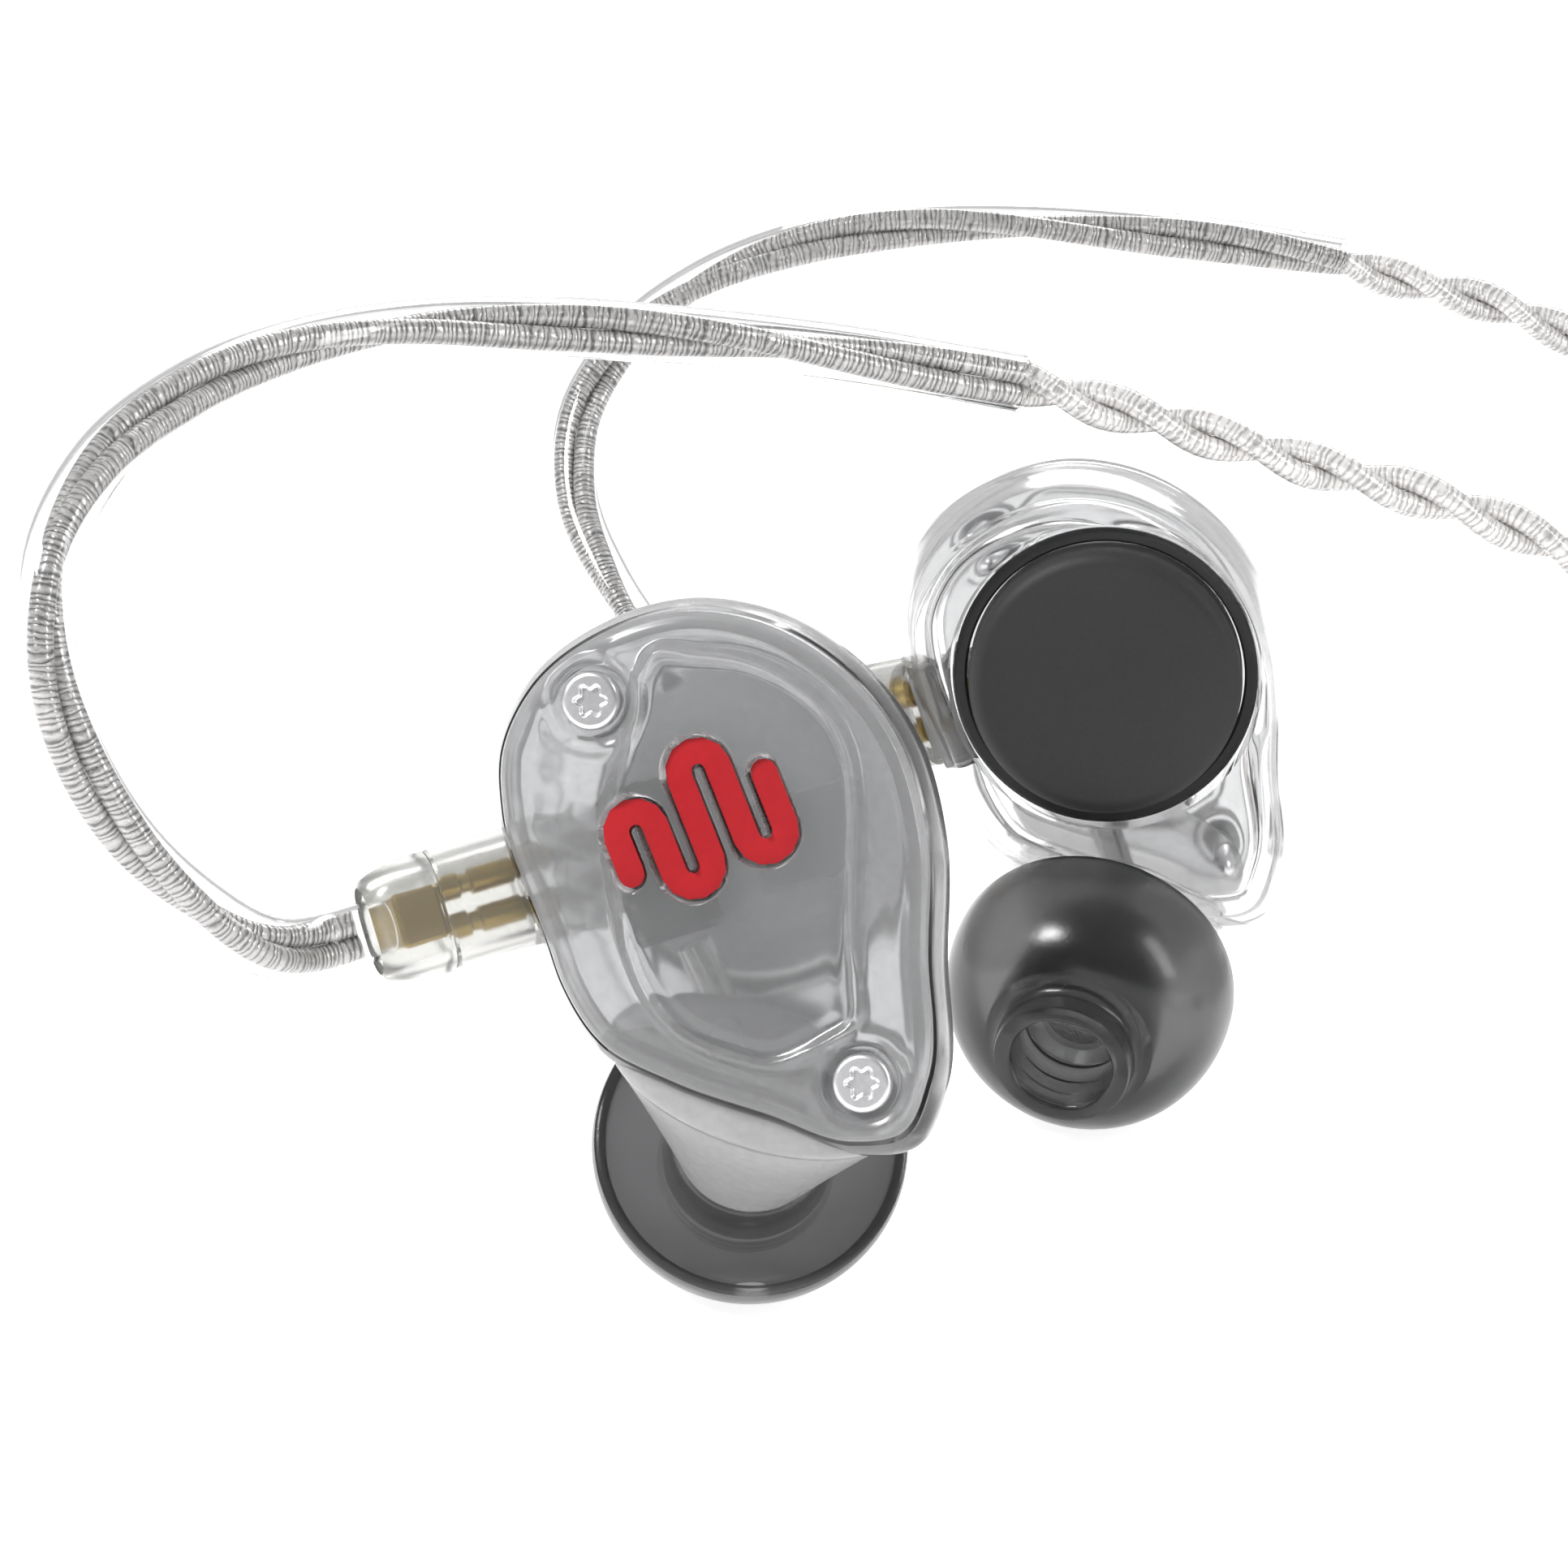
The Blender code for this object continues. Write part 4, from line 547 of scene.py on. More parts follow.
MAGNET_STEEL = moulded("magnet_steel", (0.72, 0.72, 0.73), 0.38, 0.52, 5000.0, 0.3, metallic=0.6)
ARMATURE_CAN = moulded("armature_can", (0.010, 0.010, 0.011), 0.30, 0.45, 5000.0, 0.3, metallic=0.3)
BOARD_GREY = moulded("board_grey", (0.40, 0.41, 0.405), 0.35, 0.50, 4000.0, 0.3)
FROSTED_SOCKET = moulded("frosted_socket", (0.50, 0.50, 0.50), 0.25, 0.40, 6000.0, 0.3, transmission=0.75)
FROSTED_PLUG = moulded("frosted_plug", (0.82, 0.82, 0.80), 0.15, 0.24, 6000.0, 0.2, transmission=0.94,
                       ior=1.38)
CLEAR_TUBE = moulded("clear_tube", (0.97, 0.97, 0.97), 0.01, 0.05, 900.0, 0.05, transmission=1.0, ior=1.30)
SOUND_TUBE = moulded("sound_tube", (0.85, 0.85, 0.84), 0.10, 0.20, 3000.0, 0.1, transmission=0.9)
TIP_SILICONE = moulded("tip_silicone", (0.135, 0.135, 0.138), 0.18, 0.28, 5000.0, 0.3, transmission=0.90,
                       ior=1.41)
MESH_STEEL = moulded("mesh_steel", (0.55, 0.55, 0.56), 0.25, 0.40, 9000.0, 1.0, metallic=1.0)
GOLD = moulded("gold_plate", (0.40, 0.27, 0.045), 0.26, 0.40, 4000.0, 0.2, metallic=0.80)
PLUG_BLACK = moulded("plug_black", (0.035, 0.035, 0.036), 0.35, 0.50, 5000.0, 0.4)
# The darker colour of each wire below is painted shade in the grooves between its strands; the lighter one is
# the silver itself.
GUIDE_WIRE = stranded("guide_wire", 0.25, 1.0, (0.15, 0.145, 0.14), (0.80, 0.785, 0.775), 0.35, 0.40)
CORD_WIRE = stranded("cord_wire", 0.30, 1.0, (0.34, 0.33, 0.32), (0.78, 0.765, 0.755), 0.30, 0.25)


# ---- earpiece -----------------------------------------------------------------------------------
def body_outline(count):
    """The shell's largest outline, anticlockwise."""
    shares = np.array(BODY_OUTLINE)
    points = np.array(BODY_CENTRE) + shares * np.array([BODY_WIDTH, BODY_HEIGHT]) / 2
    return evenly(hermite(points, True), count, closed=True)


def inset(outline, distance):
    """Outline moved inwards along its normals."""
    slope = np.roll(outline, -1, axis=0) - np.roll(outline, 1, axis=0)
    slope /= np.linalg.norm(slope, axis=1)[:, None]
    return outline + np.column_stack([-slope[:, 1], slope[:, 0]]) * distance


def lifted(outline, height):
    """Flat outline at a height."""
    return np.column_stack([outline, np.full(len(outline), height)])


def shell_rows(wall):
    """Rows of the shell from the parting plane to the driver's opening: the outline swells and
    shrinks towards the driver's axis with depth, and eases into the circle of the opening."""
    outline = inset(body_outline(256), wall)
    share, size = hermite(np.array(BODY_RINGS)).T
    centre = DRIVER_CENTRE
    direction = outline - centre
    direction_length = np.linalg.norm(direction, axis=1)[:, None]
    circle = centre + direction / direction_length * (RING_RADIUS + 0.25 - wall * 0.2)
    rows = [lifted(centre + direction * s, RIM_Z - d * (SHELL_DEPTH - wall)) for d, s in zip(share, size)]
    last = rows[-1][:, :2]
    start_z = rows[-1][0, 2]
    end_z = RING_LOW - 0.35 + wall * 0.75
    for step in np.linspace(0.0, 1.0, 14)[1:]:
        blend = math.sin(step * math.pi / 2)
        drop = 1.0 - math.cos(step * math.pi / 2)
        rows.append(lifted(last + (circle - last) * drop, start_z + (end_z - start_z) * blend))
    return np.array(rows)


def cowl_rows(wall):
    """Rows of the cowl: a fairing turns out of the shell's lower edge like a quarter ellipse, and an
    ellipse then eases into the nozzle's round root."""
    along = np.array([math.cos(COWL_TILT), math.sin(COWL_TILT), 0.0])
    across = np.array([-math.sin(COWL_TILT), math.cos(COWL_TILT), 0.0])
    axis = np.array(NOZZLE_AXIS) / np.linalg.norm(NOZZLE_AXIS)
    along_end = along - axis * np.dot(along, axis)
    along_end /= np.linalg.norm(along_end)
    across_end = np.cross(along_end, axis)
    angle = np.linspace(0.0, TAU, 96, endpoint=False)
    span = (COWL_SPAN - wall * COWL_MOUTH) * np.outer(np.cos(angle), along)
    drop = (COWL_DROP - wall * COWL_MOUTH) * np.outer(np.sin(angle), across)
    start = np.array(COWL_CENTRE) + span + drop
    circle = np.outer(np.cos(angle), along_end) + np.outer(np.sin(angle), across_end)
    end = np.array(TIP_RIM) + axis * NOZZLE_SHOULDER + (NOZZLE_ROOT - wall) * circle
    share = np.linspace(0.0, 1.0, 18)[:, None, None]
    eased = share * share * (3 - 2 * share) * 0.5 + share * 0.5
    rows = start[None] * (1 - eased) + end[None] * eased
    turn = np.linspace(math.pi / 2, 0.0, 7)[:-1, None, None]
    drawn = 1.0 - np.cos(turn)
    drawn_in = span * (1.0 - COWL_TUCK[0] * drawn) + drop * (1.0 - COWL_TUCK[1] * drawn)
    fairing = np.array(COWL_CENTRE) + drawn_in + np.sin(turn) * np.array([0.0, 0.0, COWL_RISE])
    return np.concatenate([fairing, rows])


def shell_skin():
    """Clear shell: outer and inner walls joined round both openings, cowl and nozzle tube."""
    outer, inner = shell_rows(0.0), shell_rows(WALL)
    skin = Skin().grid(np.vstack([outer, inner[::-1]]), ring=True)
    skin.grid(np.vstack([cowl_rows(0.0), cowl_rows(COWL_WALL)[::-1]]), ring=True, finish=1)
    root = NOZZLE_SHOULDER - 0.6
    lip = NOZZLE_RADIUS + 0.12
    profile = [(NOZZLE_ROOT - 0.2, root), (NOZZLE_ROOT, NOZZLE_SHOULDER),
               (NOZZLE_RADIUS, NOZZLE_SHOULDER + 0.05), (NOZZLE_RADIUS, NOZZLE_END - 0.9),
               (lip, NOZZLE_END - 0.6), (lip, NOZZLE_END - 0.2),
               (lip - 0.2, NOZZLE_END), (NOZZLE_BORE, NOZZLE_END), (NOZZLE_BORE, root)]
    skin.grid(turned_grid(profile, axes_along(TIP_RIM, NOZZLE_AXIS), 64)[::-1], ring=True, finish=1)
    return skin


def nearest(points, line):
    """Distance of points in the plane to a dense line of points."""
    best = np.full(len(points), np.inf)
    block = 4000
    for start in range(0, len(points), block):
        part = points[start:start + block]
        gap = part[:, None] - line[None]
        best[start:start + block] = np.sqrt((gap ** 2).sum(-1).min(1))
    return best


def mark_line():
    """Middle line of the mark: upright runs joined by half circles, turned and centred."""
    radius = MARK_PITCH / 2
    points = []
    for i, (start, end) in enumerate(MARK_RUNS):
        x = (i - (len(MARK_RUNS) - 1) / 2) * MARK_PITCH
        points += [(x, start + (end - start) * share) for share in np.linspace(0.0, 1.0, 24)]
        if i + 1 < len(MARK_RUNS):
            side = 1.0 if end > start else -1.0
            points += [(x + radius + radius * math.cos(a), end + side * radius * math.sin(a))
                       for a in np.linspace(math.pi, 0.0, 26)[1:-1]]
    turn = np.array([[math.cos(MARK_TILT), math.sin(MARK_TILT)], [-math.sin(MARK_TILT), math.cos(MARK_TILT)]])
    return np.array(points) @ turn + MARK_CENTRE


FIELD_OUTLINE = [(-2.25, 8.89), (-0.42, 8.80), (1.5, 8.45), (3.23, 7.56), (4.69, 6.18), (5.37, 4.64),
                 (5.55, 2.74), (5.42, 0.3), (5.30, -2.0), (5.38, -4.22), (5.30, -5.75), (3.84, -6.75),
                 (1.89, -7.45), (-0.01, -7.0), (-1.91, -6.0), (-2.95, -4.65), (-3.65, -2.91), (-4.25, 0.17),
                 (-4.30, 2.72), (-3.55, 5.0), (-2.95, 6.6), (-2.75, 8.1)]


def inside_depth(points, outline):
    """Signed distance into a closed outline: positive inside, from the count of edge crossings."""
    depth = nearest(points, outline)
    x, y = points.T
    crossed = np.zeros(len(points), dtype=int)
    for (x0, y0), (x1, y1) in zip(outline[::4], np.roll(outline[::4], -1, axis=0)):
        spans = (y0 > y) != (y1 > y)
        edge = (x1 - x0) * (y - y0) / (y1 - y0 + 1e-12) + x0
        crossed += spans & (x < edge)
    return np.where(crossed % 2 == 1, depth, -depth)


def face_heights(points, edge_gap):
    """Height of the faceplate over the parting plane: a rounded rim, a clear band, a ridge round the
    raised field, a well with a soft collar round each screw, and the pocket of the mark."""
    field = inside_depth(points, evenly(hermite(FIELD_OUTLINE, True), 480, closed=True))
    rim = np.interp(edge_gap, *RIM_PROFILE)
    left = 1.0 - ease(points[:, 0], -3.9, -2.6)
    left *= ease(points[:, 1], -2.8, -1.4) * (1.0 - ease(points[:, 1], 6.0, 7.6))
    height = rim + (PLATEAU - RIM_PROFILE[1][-1]) * ease(field, -0.45, 0.25)
    ridge = np.exp(-((field + 0.02) / 0.24) ** 2) * 0.20 - np.exp(-((field - 0.55) / 0.30) ** 2) * 0.10
    groove = np.exp(-((edge_gap - 1.05) / 0.35) ** 2) * 0.07
    height = height + ridge * (1.0 - 0.85 * left) - groove
    ripple = np.sin(points[:, 0] * 3.1 + points[:, 1] * 2.0) * np.sin(points[:, 1] * 2.6 - points[:, 0] * 1.3)
    height = height + ripple * 0.05 * left * ease(edge_gap, 0.6, 1.4)
    for place in SCREW_PLACES.values():
        gap = np.linalg.norm(points - place, axis=1)
        collar = np.exp(-((gap - 1.95) / 0.30) ** 2) * 0.16
        height = height + collar
        well = 1.0 - ease(gap, WELL_RADIUS - 0.10, WELL_RADIUS + 0.12)
        height = height + (SCREW_SEAT_Z - SCREW_GAP - RIM_Z - height) * well
    pocket = nearest(points, mark_line())
    height = height - MARK_POCKET * (1.0 - ease(pocket, MARK_HALF + 0.04, MARK_HALF + 0.16))
    return height, field


def face_skin():
    """Faceplate: a polar net of the height field over a flat underside. Materials change from the
    clear rim to the frosted field just inside the ridge."""
    outline = DRIVER_CENTRE + (body_outline(440) - DRIVER_CENTRE) * FACE_SIZE
    centre = on_body(0.06, 0.02)
    radial = np.concatenate([np.linspace(1.0, 0.74, 58), np.linspace(0.74, 0.015, 84)[1:]])
    flat = centre + radial[:, None, None] * (outline - centre)[None]
    points = flat.reshape(-1, 2)
    edge_gap = nearest(points, evenly(outline, 1200, closed=True))
    height, field = face_heights(points, edge_gap)
    height[:len(outline)] = RIM_PROFILE[1][0]
    top = np.concatenate([flat, (RIM_Z + height).reshape(flat.shape[:2])[..., None]], axis=-1)
    under = [lifted(centre + s * (outline - centre), RIM_Z + SEAM) for s in (0.02, 0.35, 0.7, 0.985, 1.0)]
    whole = np.concatenate([np.array(under), top])
    depth = np.concatenate([np.full((len(under), len(outline)), -1.0), field.reshape(flat.shape[:2])])
    frosted = (depth[:-1] > 0.30).astype(int)
    return Skin().grid(whole, finish=lambda grid: frosted)


def cap_profile():
    """Driver cap, from its inner face round the rounded edge to its outer face."""
    edge = 0.8
    angle = np.linspace(0.0, math.pi / 2, 10)
    top = DRIVER_FACE_Z + CAP_DEPTH
    rounded = np.column_stack([DRIVER_RADIUS - edge + edge * np.cos(angle),
                               DRIVER_FACE_Z + edge - edge * np.sin(angle)])
    flat = [(r, DRIVER_FACE_Z) for r in (4.6, 3.6)]
    dish = [(3.2, DRIVER_FACE_Z + 0.02), (1.6, DRIVER_FACE_Z + 0.03), (0.3, DRIVER_FACE_Z + 0.03)]
    back = [(0.4, top), (DRIVER_RADIUS - 0.1, top), (DRIVER_RADIUS, top - 0.1)]
    return np.vstack([back, rounded, flat, dish])


def on_driver():
    """Axes on the driver's middle line."""
    return axes_along((*DRIVER_CENTRE, 0.0), (0.0, 0.0, 1.0), (0.0, 1.0, 0.0))


def driver_cap_skin():
    """Driver cap, black outside and grey on the plate that faces the magnet."""
    top = DRIVER_FACE_Z + CAP_DEPTH - 0.15
    grid = turned_grid(cap_profile()[::-1], on_driver(), 120)
    inner = (grid[:-1, :, 2] > top) & (grid[1:, :, 2] > top)
    return Skin().grid(grid, finish=lambda rows: inner)


def ring_skin():
    """Seal ring with a rounded section."""
    inner, outer = DRIVER_RADIUS + 0.1, RING_RADIUS
    low, high = RING_LOW, RING_LOW + RING_DEPTH
    profile = [(inner, high), (outer - 0.1, high), (outer, high - 0.1), (outer, low + 0.15),
               (outer - 0.15, low), (inner + 0.1, low), (inner, low + 0.1)]
    return Skin().grid(turned_grid(profile[::-1], on_driver(), 96), ring=True)


def screw_skin(place):
    """Screw: a net of circles whose top sinks into a six-lobed drive, then the side and the shank.
    The drive's edge is at a radius that swells and shrinks six times round, as a cosine does."""
    head, edge = SCREW_HEAD / 2, SCREW_HEAD_EDGE
    angle = np.linspace(0.0, TAU, 96, endpoint=False)[None]
    inner = np.linspace(0.03, 0.85, 30)
    radius = np.concatenate([inner, np.linspace(0.85, head - edge, 5)[1:]])[:, None]
    lobes = DRIVE_RADIUS + DRIVE_LOBE * np.cos(6 * angle)
    top_z = SCREW_TOP_Z - DRIVE_DEPTH * (1.0 - ease(radius / lobes, 0.90, 1.08))
    top = np.stack([radius * np.cos(angle), radius * np.sin(angle), top_z], axis=-1)
    bend = np.linspace(0.0, math.pi / 2, 6)[1:]
    end = SCREW_SEAT_Z - SCREW_LENGTH
    rows = [(head - edge + edge * math.sin(a), SCREW_TOP_Z - edge + edge * math.cos(a)) for a in bend]
    rows += [(head, SCREW_SEAT_Z + 0.03), (head - 0.03, SCREW_SEAT_Z), (SCREW_SHANK / 2, SCREW_SEAT_Z),
             (SCREW_SHANK / 2, end + 0.5), (0.18, end)]
    side_radius, side_z = np.array(rows).T[:, :, None]
    side_z = np.broadcast_to(side_z, (len(rows), angle.size))
    side = np.stack([side_radius * np.cos(angle), side_radius * np.sin(angle), side_z], axis=-1)
    grid = np.concatenate([top, side])
    grid[..., :2] += place
    return Skin().grid(grid[::-1])


def tip_profile():
    """Ear tip: nose and dome, rolled skirt edge, inside of the skirt, ribbed core and bore."""
    nose, core, outer, bore = 3.15, 3.45, TIP_RADIUS, 2.3
    seat, waist, dome, thick = NOZZLE_RADIUS + 0.16, 1.0, 5.9, 0.55
    angle = np.linspace(0.12, math.pi / 2, 22)
    nose_rows = [(bore + 0.02, TIP_LENGTH - 0.18), (bore + 0.10, TIP_LENGTH - 0.05),
                 (bore + 0.22, TIP_LENGTH), (nose - 0.30, TIP_LENGTH),
                 (nose - 0.09, TIP_LENGTH - 0.09), (nose, TIP_LENGTH - 0.30),
                 (nose - 0.02, dome + 0.42), (nose + 0.10, dome + 0.16)]
    dome_rows = [(nose + (outer - nose) * math.sin(a), waist + (dome - waist) * math.cos(a)) for a in angle]
    edge_rows = [(outer - 0.02, 0.45), (outer - 0.09, 0.10), (outer - 0.22, 0.01), (outer - 0.40, 0.0),
                 (outer - thick, 0.12)]
    inner = outer - thick - 0.05
    inside_rows = [(core + (inner - core) * math.sin(a), waist + (dome - thick - waist) * math.cos(a))
                   for a in angle[::-1]]
    back = NOZZLE_SHOULDER + 0.1
    core_rows = [(core, waist), (core, back + 0.2), (core - 0.15, back), (seat, back)]
    ribs = [(bore + 0.10 + 0.12 * math.cos(k * math.pi), NOZZLE_END + 0.5 + k * 0.45) for k in range(1, 7)]
    bore_rows = [(seat, NOZZLE_END + 0.3), (bore, NOZZLE_END + 0.45)] + ribs
    return nose_rows + dome_rows + edge_rows + inside_rows + core_rows + bore_rows


# ---- connector ----------------------------------------------------------------------------------
def plug_axes():
    """Axes on the plug's middle line, the third out of the shell."""
    return axes_along(SOCKET_PLACE, PLUG_AXIS)


def plug_rows(rows):
    """Rows of the plug's rounded section: each has how far it stands in, and its place along."""
    grid = []
    for shrink, along in rows:
        corner = min(PLUG_CORNER, PLUG_HEIGHT / 2 - shrink - 0.02)
        section = rounded_section(PLUG_WIDTH - 2 * shrink, PLUG_HEIGHT - 2 * shrink, corner)
        grid.append(lifted(section, along))
    return in_axes(plug_axes(), np.array(grid))


def barrel_skin():
    """Plug barrel: sleeve with softened ends and a thick front wall."""
    rows = [(0.10, -PLUG_SEAT), (0.0, -PLUG_SEAT + 0.12), (0.0, BARREL_END - 0.10), (0.08, BARREL_END),
            (PLUG_WALL, BARREL_END), (PLUG_WALL, -PLUG_SEAT + 1.3), (PLUG_WALL + 0.4, -PLUG_SEAT + 1.3)]
    return Skin().grid(plug_rows(rows))


def cap_skin():
    """Rear of the plug: a dome whose section draws in like a quarter ellipse to the guide's hole."""
    low = BARREL_END + 0.05
    deepest = PLUG_HEIGHT / 2 - GUIDE_DIAMETER / 2 - 0.1
    share = np.linspace(0.0, 1.0, 16)
    rows = [(0.08, low), (0.0, low + 0.10)]
    rows += [(deepest * (1.0 - math.sqrt(1.0 - s * s)), low + 0.1 + s * (CAP_END - low - 0.1))
             for s in share[1:]]
    rows += [(deepest + 0.02, CAP_END - 0.5), (PLUG_WALL, CAP_END - 1.6), (PLUG_WALL, low)]
    return Skin().grid(plug_rows(rows), ring=True)


def pin_skin(offset):
    """Gold pin, stepped down inside the plug, with a crimped tail."""
    origin, x, y, z = plug_axes()
    axes = (origin + x * offset, x, y, z)
    low = -PLUG_SEAT - 2.2
    collar = PIN_RADIUS + 0.14
    profile = [(0.05, low), (0.18, low + 0.03), (0.30, low + 0.14), (PIN_RADIUS, low + 0.42),
               (PIN_RADIUS, 0.75), (collar, 0.82), (collar, 2.55), (PIN_RADIUS, 2.65),
               (PIN_RADIUS, 3.0), (collar, 3.1), (collar, 3.9), (0.05, 3.95)]
    return Skin().grid(turned_grid(profile, axes, 32))


# ---- cable --------------------------------------------------------------------------------------
def guide_path(side, place):
    """Ear guide's middle line, straight out of the plug and then smoothly along its route."""
    start, leave, ahead = place(in_axes(plug_axes(), [(0, 0, GUIDE_START), (0, 0, CAP_END + 0.5),
                                                      (0, 0, CAP_END + 1.5)]))
    return np.vstack([[start], smooth_path(np.vstack([[leave, ahead], GUIDE_ROUTES[side]]), 0.7)])


def guide_skin(path):
    """Clear tube: outer and inner walls joined round both ends."""
    outer = tube_grid(path, GUIDE_DIAMETER / 2, 28)
    inner = tube_grid(path, GUIDE_DIAMETER / 2 - GUIDE_WALL, 28)
    return Skin().grid(np.vstack([outer, inner[::-1]]), ring=True)


def twisted_skin(path, diameter, count, pitch, sides=10, toward=(0.0, 0.0, 1.0)):
    """Twisted strands: each follows a helix round the path at the radius where they touch; the
    first one starts on the side that faces the given direction. Also gives where it ends up."""
    share = math.sin(math.pi / count)
    strand = diameter / 2 * share / (1.0 + share)
    orbit = diameter / 2 - strand
    side, up = carried_frames(path)
    phase = math.atan2(np.dot(up[0], toward), np.dot(side[0], toward))
    length = travelled(path)
    skin = Skin()
    skin.leaves = math.cos(TAU * length[-1] / pitch + phase) * side[-1]
    skin.leaves = skin.leaves + math.sin(TAU * length[-1] / pitch + phase) * up[-1]
    for k in range(count):
        angle = (TAU * (length / pitch + k / count) + phase)[:, None]
        middle = path + orbit * (np.cos(angle) * side + np.sin(angle) * up)
        skin.grid(tube_grid(middle, strand, sides), along=travelled(middle), around=1.0)
    return skin


def wound(radii, heights, start_angle, turns, per_turn=72, jog=0.15):
    """Turns of a coil: a constant circle for most of each turn, then a smooth step to the next."""
    t = np.linspace(0.0, turns, int(per_turn * turns))
    last = len(radii) - 1
    index = np.minimum(t.astype(int), last)
    following = np.minimum(index + 1, last)
    step = ease(t - index, 1.0 - jog, 1.0) * (index < last)
    radii, heights = np.array(radii), np.array(heights)
    radius = radii[index] + (radii[following] - radii[index]) * step
    height = heights[index] + (heights[following] - heights[index]) * step
    angle = math.radians(start_angle) + TAU * t
    return np.column_stack([COIL_CENTRE[0] + radius * np.cos(angle),
                            COIL_CENTRE[1] + radius * np.sin(angle), height])


def branch_path(side, start):
    """Branch lead's middle line from the ear guide's end, round its coil and on to the splitter."""
    height, start_angle, turns = BRANCH_COILS[side]
    coil = wound(BRANCH_COIL_RADII, [height] * len(BRANCH_COIL_RADII), start_angle, turns)
    points = np.vstack([[start], LEAD_ROUTES[side], coil[::6], TAIL_ROUTES[side]])
    return smooth_path(points, 0.55)


def main_path():
    """Main lead's middle line from the splitter, down and up its two-layer coil, to the plug."""
    low, high = MAIN_COIL_HEIGHTS
    columns = len(MAIN_COIL_RADII)
    coil = wound(MAIN_COIL_RADII + MAIN_COIL_RADII[::-1], [low] * columns + [high] * columns,
                 MAIN_COIL_ANGLE, MAIN_COIL_TURNS)
    points = np.vstack([MAIN_START, coil[::6], MAIN_END])
    return smooth_path(points, 0.8)


# ---- build --------------------------------------------------------------------------------------
def set_camera():
    """Camera at eye level over the table."""
    camera = bpy.data.cameras.new("view")
    camera.lens = CAMERA_LENS
    camera.sensor_width = 36.0
    camera.clip_start = 0.01
    holder = bpy.data.objects.new("view", camera)
    holder.location = Vector(CAMERA_PLACE) * MM
    holder.rotation_euler = (math.radians(90.0 - CAMERA_DROP), 0.0, 0.0)
    bpy.context.scene.collection.objects.link(holder)
    bpy.context.scene.camera = holder


def add_light(name, place, target, size, power, shade=(1.0, 1.0, 1.0)):
    """Soft area light that looks at a point; places and sizes in metres."""
    light = bpy.data.lights.new(name, "AREA")
    light.shape = "RECTANGLE"
    light.size, light.size_y = size
    light.energy = power
    light.color = shade
    holder = bpy.data.objects.new(name, light)
    holder.location = place
    holder.rotation_euler = (Vector(target) - Vector(place)).to_track_quat("-Z", "Y").to_euler()
    bpy.context.scene.collection.objects.link(holder)


def set_stage():
    """Pale table, a pale world that is darker low in front, and soft lights."""
    mesh = bpy.data.meshes.new("table_top")
    half = 6.0
    corners = [(-half, -half, 0), (half, -half, 0), (half, half, 0), (-half, half, 0)]
    mesh.from_pydata(corners, [], [(0, 1, 2, 3)])
    table, _, shader = plain_shader("table_white")
    set_values(shader, Base_Color=(0.50, 0.50, 0.50, 1.0), Roughness=0.9,
               Emission_Color=(1.0, 1.0, 1.0, 1.0), Emission_Strength=0.88)
    mesh.materials.append(table)
    floor = bpy.data.objects.new("table_top", mesh)
    bpy.context.scene.collection.objects.link(floor)
    world = bpy.data.worlds.new("studio")
    bpy.context.scene.world = world
    world.use_nodes = True
    nodes, links = world.node_tree.nodes, world.node_tree.links
    place = nodes.new("ShaderNodeTexCoord")
    parts = nodes.new("ShaderNodeSeparateXYZ")
    links.new(place.outputs["Generated"], parts.inputs["Vector"])
    ramp = nodes.new("ShaderNodeValToRGB")
    stops = ((0.25, (0.42, 0.42, 0.43, 1.0)), (0.62, (1.0, 1.0, 1.0, 1.0)))
    for element, (spot, shade) in zip(ramp.color_ramp.elements, stops):
        element.position, element.color = spot, shade
    links.new(maths(world.node_tree, "MULTIPLY_ADD", parts.outputs["Y"], 0.5, 0.5), ramp.inputs["Fac"])
    links.new(ramp.outputs["Color"], nodes["Background"].inputs["Color"])
    nodes["Background"].inputs["Strength"].default_value = 0.60
    target = (0.0, -0.005, 0.02)
    add_light("key", (-0.32, -0.28, 0.42), target, (0.14, 0.14), 3.4)
    add_light("fill", (0.42, -0.22, 0.25), target, (0.10, 0.30), 0.9)
    add_light("back", (0.10, 0.40, 0.35), target, (0.40, 0.15), 1.2)


def dress(names, finish):
    """Gives CAD nodes their finish."""
    for name in names:
        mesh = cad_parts[name].data
        mesh.materials.clear()
        mesh.materials.append(finish)


def dress_solids():
    """Finishes of the CAD nodes that show as they are."""
    for side in ("left", "right"):
        finishes = [("mark_inlay", INLAY_RED), ("driver_magnet", MAGNET_STEEL),
                    ("armature_driver", ARMATURE_CAN), ("crossover_board", BOARD_GREY),
                    ("sound_tube", SOUND_TUBE),
                    ("connector_socket", FROSTED_SOCKET), ("nozzle_screen", MESH_STEEL), ("plug_crimp", GOLD)]
        for name, finish in finishes:
            dress([f"{side}_{name}"], finish)
    dress(["cable_splitter", "jack_relief", "jack_insulator_a", "jack_insulator_b", "coil_tie"], PLUG_BLACK)
    dress(["jack_barrel"], SCREW_STEEL)
    dress(["jack_sleeve", "jack_ring", "jack_tip"], GOLD)


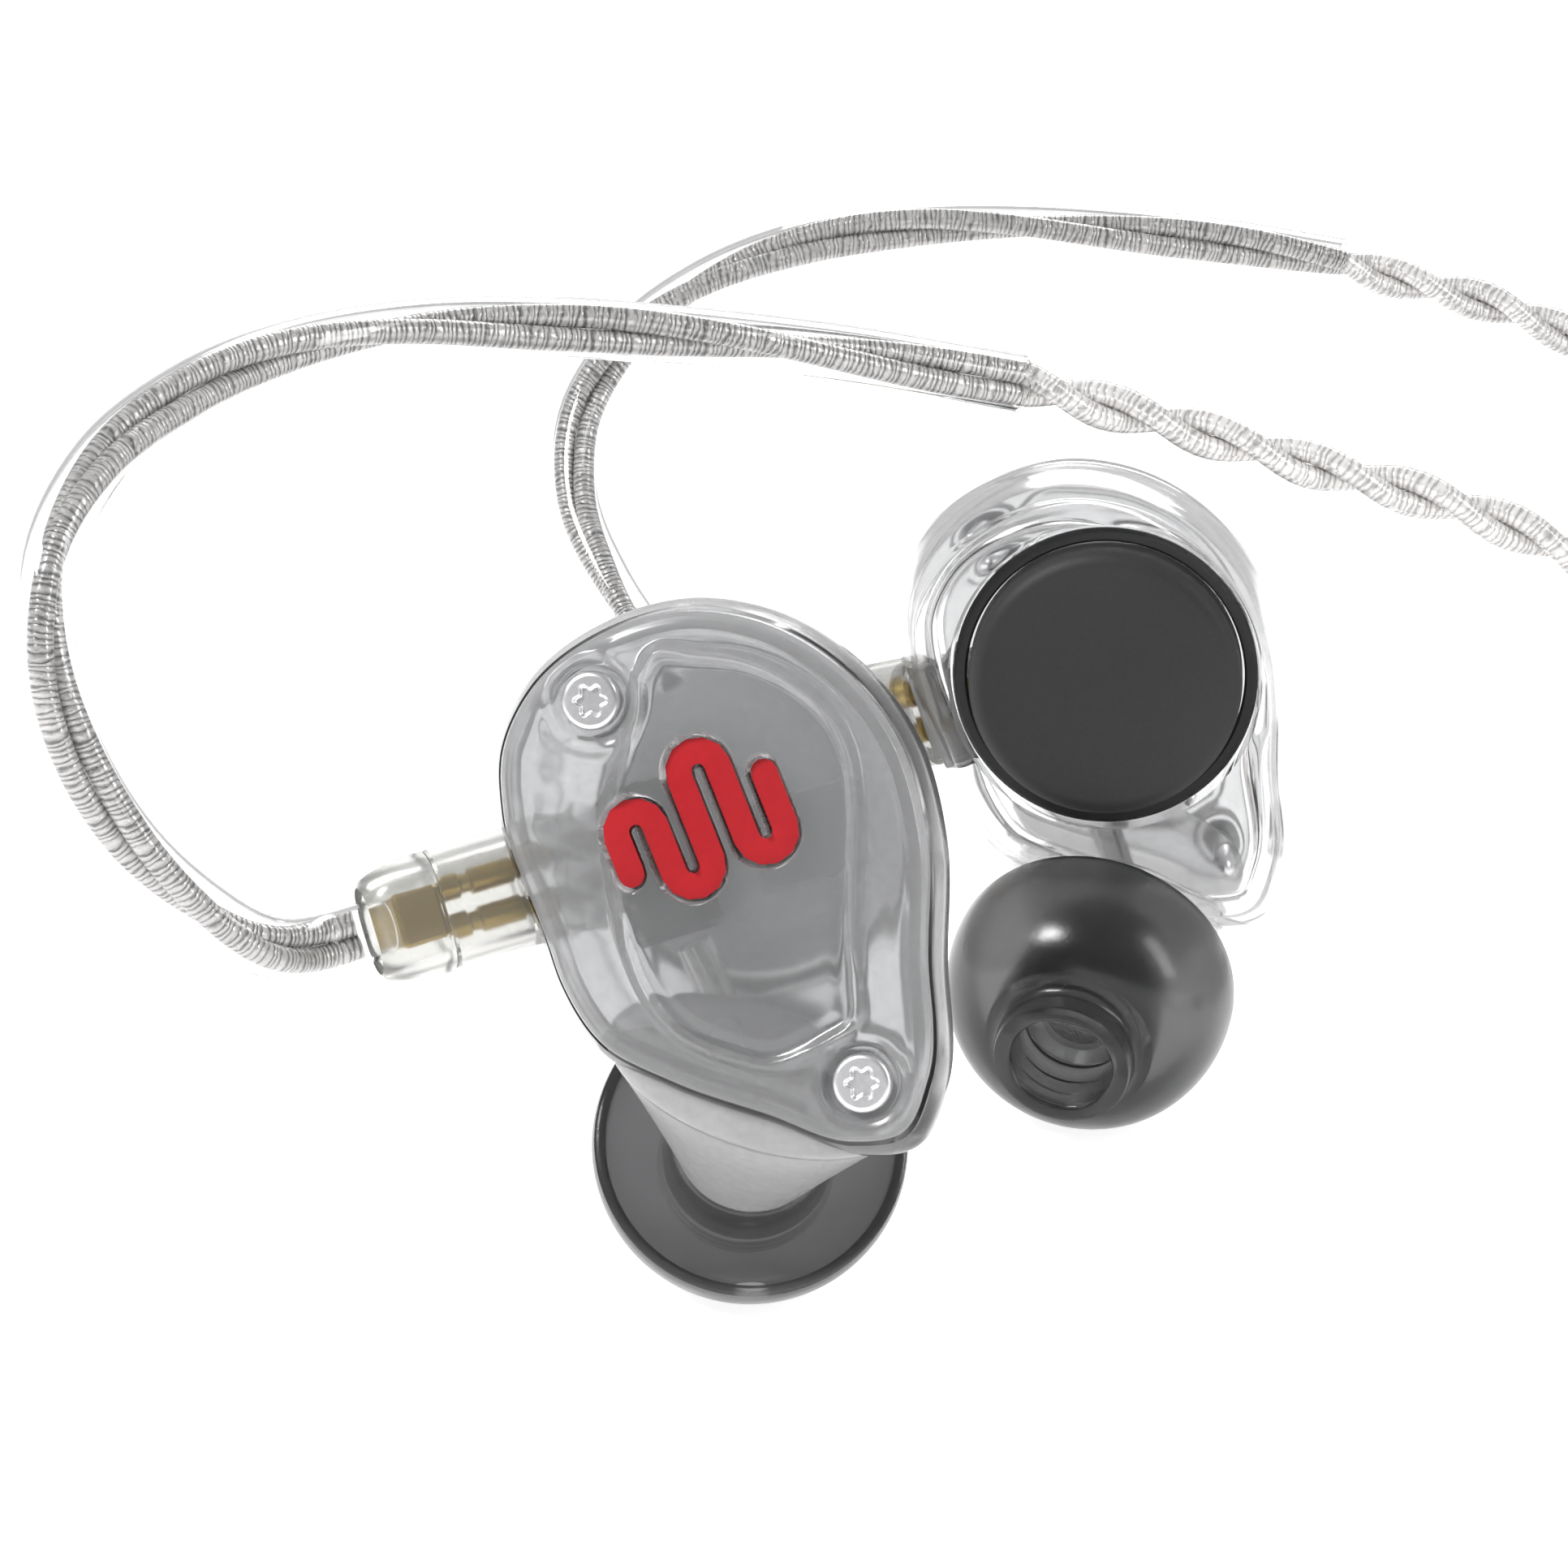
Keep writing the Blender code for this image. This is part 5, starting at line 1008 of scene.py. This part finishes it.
def add_earpiece(side, place):
    """Pieces of one earpiece, its ear tip and its plug."""
    body = f"{side}_earpiece"

    def piece(name, skin, finishes, slot, rides=body, crease=38.0):
        return add_piece(f"{side}_{name}_finished", skin, finishes, rides, [f"{side}_{name}"],
                         place, crease)

    piece("shell", shell_skin(), SHELLS[side], "clear_shell")
    piece("faceplate", face_skin(), [CLEAR_RIM, FROSTED_FIELD], "face_plate", crease=70.0)
    piece("driver_cap", driver_cap_skin(), [DRIVER_BLACK, MAGNET_STEEL], "driver_black")
    piece("driver_ring", ring_skin(), [DRIVER_BLACK], "driver_black")
    for name, spot in SCREW_PLACES.items():
        piece(f"screw_{name}", screw_skin(spot), [SCREW_STEEL], "screw_steel", crease=50.0)
    tip = Skin().grid(turned_grid(tip_profile(), axes_along(TIP_RIM, NOZZLE_AXIS), 112), ring=True)
    piece("ear_tip", tip, [TIP_SILICONE], "tip_silicone", f"{side}_ear_tip_body")
    piece("plug_barrel", barrel_skin(), [FROSTED_PLUG], "frosted", "cable")
    piece("plug_cap", cap_skin(), [FROSTED_PLUG], "frosted", "cable")
    piece("plug_pin_a", pin_skin(-PIN_PITCH / 2), [GOLD], "gold", "cable")
    piece("plug_pin_b", pin_skin(PIN_PITCH / 2), [GOLD], "gold", "cable")


def add_side_cable(side, place):
    """Ear guide, its wires and the branch lead of one side."""
    path = guide_path(side, place)
    add_piece(f"{side}_ear_guide_finished", guide_skin(path), [CLEAR_TUBE], "cable",
              [f"{side}_ear_guide"])
    wires = twisted_skin(path[1:], GUIDE_WIRES_DIAMETER, 2, GUIDE_PITCH, 14)
    add_piece(f"{side}_guide_wires_finished", wires, [GUIDE_WIRE], "cable",
              [f"{side}_guide_wires"])
    heading = path[-1] - path[-2]
    start = path[-1] + heading / np.linalg.norm(heading) * STRAND_GAP
    lead = branch_path(side, start)
    cord = twisted_skin(lead, BRANCH_DIAMETER, 2, BRANCH_PITCH, 10, toward=wires.leaves)
    nodes = [f"{side}_branch_{part}" for part in ("lead", "coil", "tail")]
    piece = add_piece(f"{side}_branch_cord", cord, [CORD_WIRE], "cable", nodes)


def add_main_lead():
    """Main lead of four strands."""
    path = main_path()
    cord = twisted_skin(path, MAIN_DIAMETER, 4, MAIN_PITCH, 8)
    nodes = ["main_lead_start", "main_lead_coil", "main_lead_end"]
    piece = add_piece("main_cord", cord, [CORD_WIRE], "cable", nodes)


set_camera()
set_stage()
dress_solids()
for ear in ("left", "right"):
    laid = placer(ear)
    add_side_cable(ear, laid)
    add_earpiece(ear, laid)
add_main_lead()
bpy.context.scene.view_settings.view_transform = "Standard"
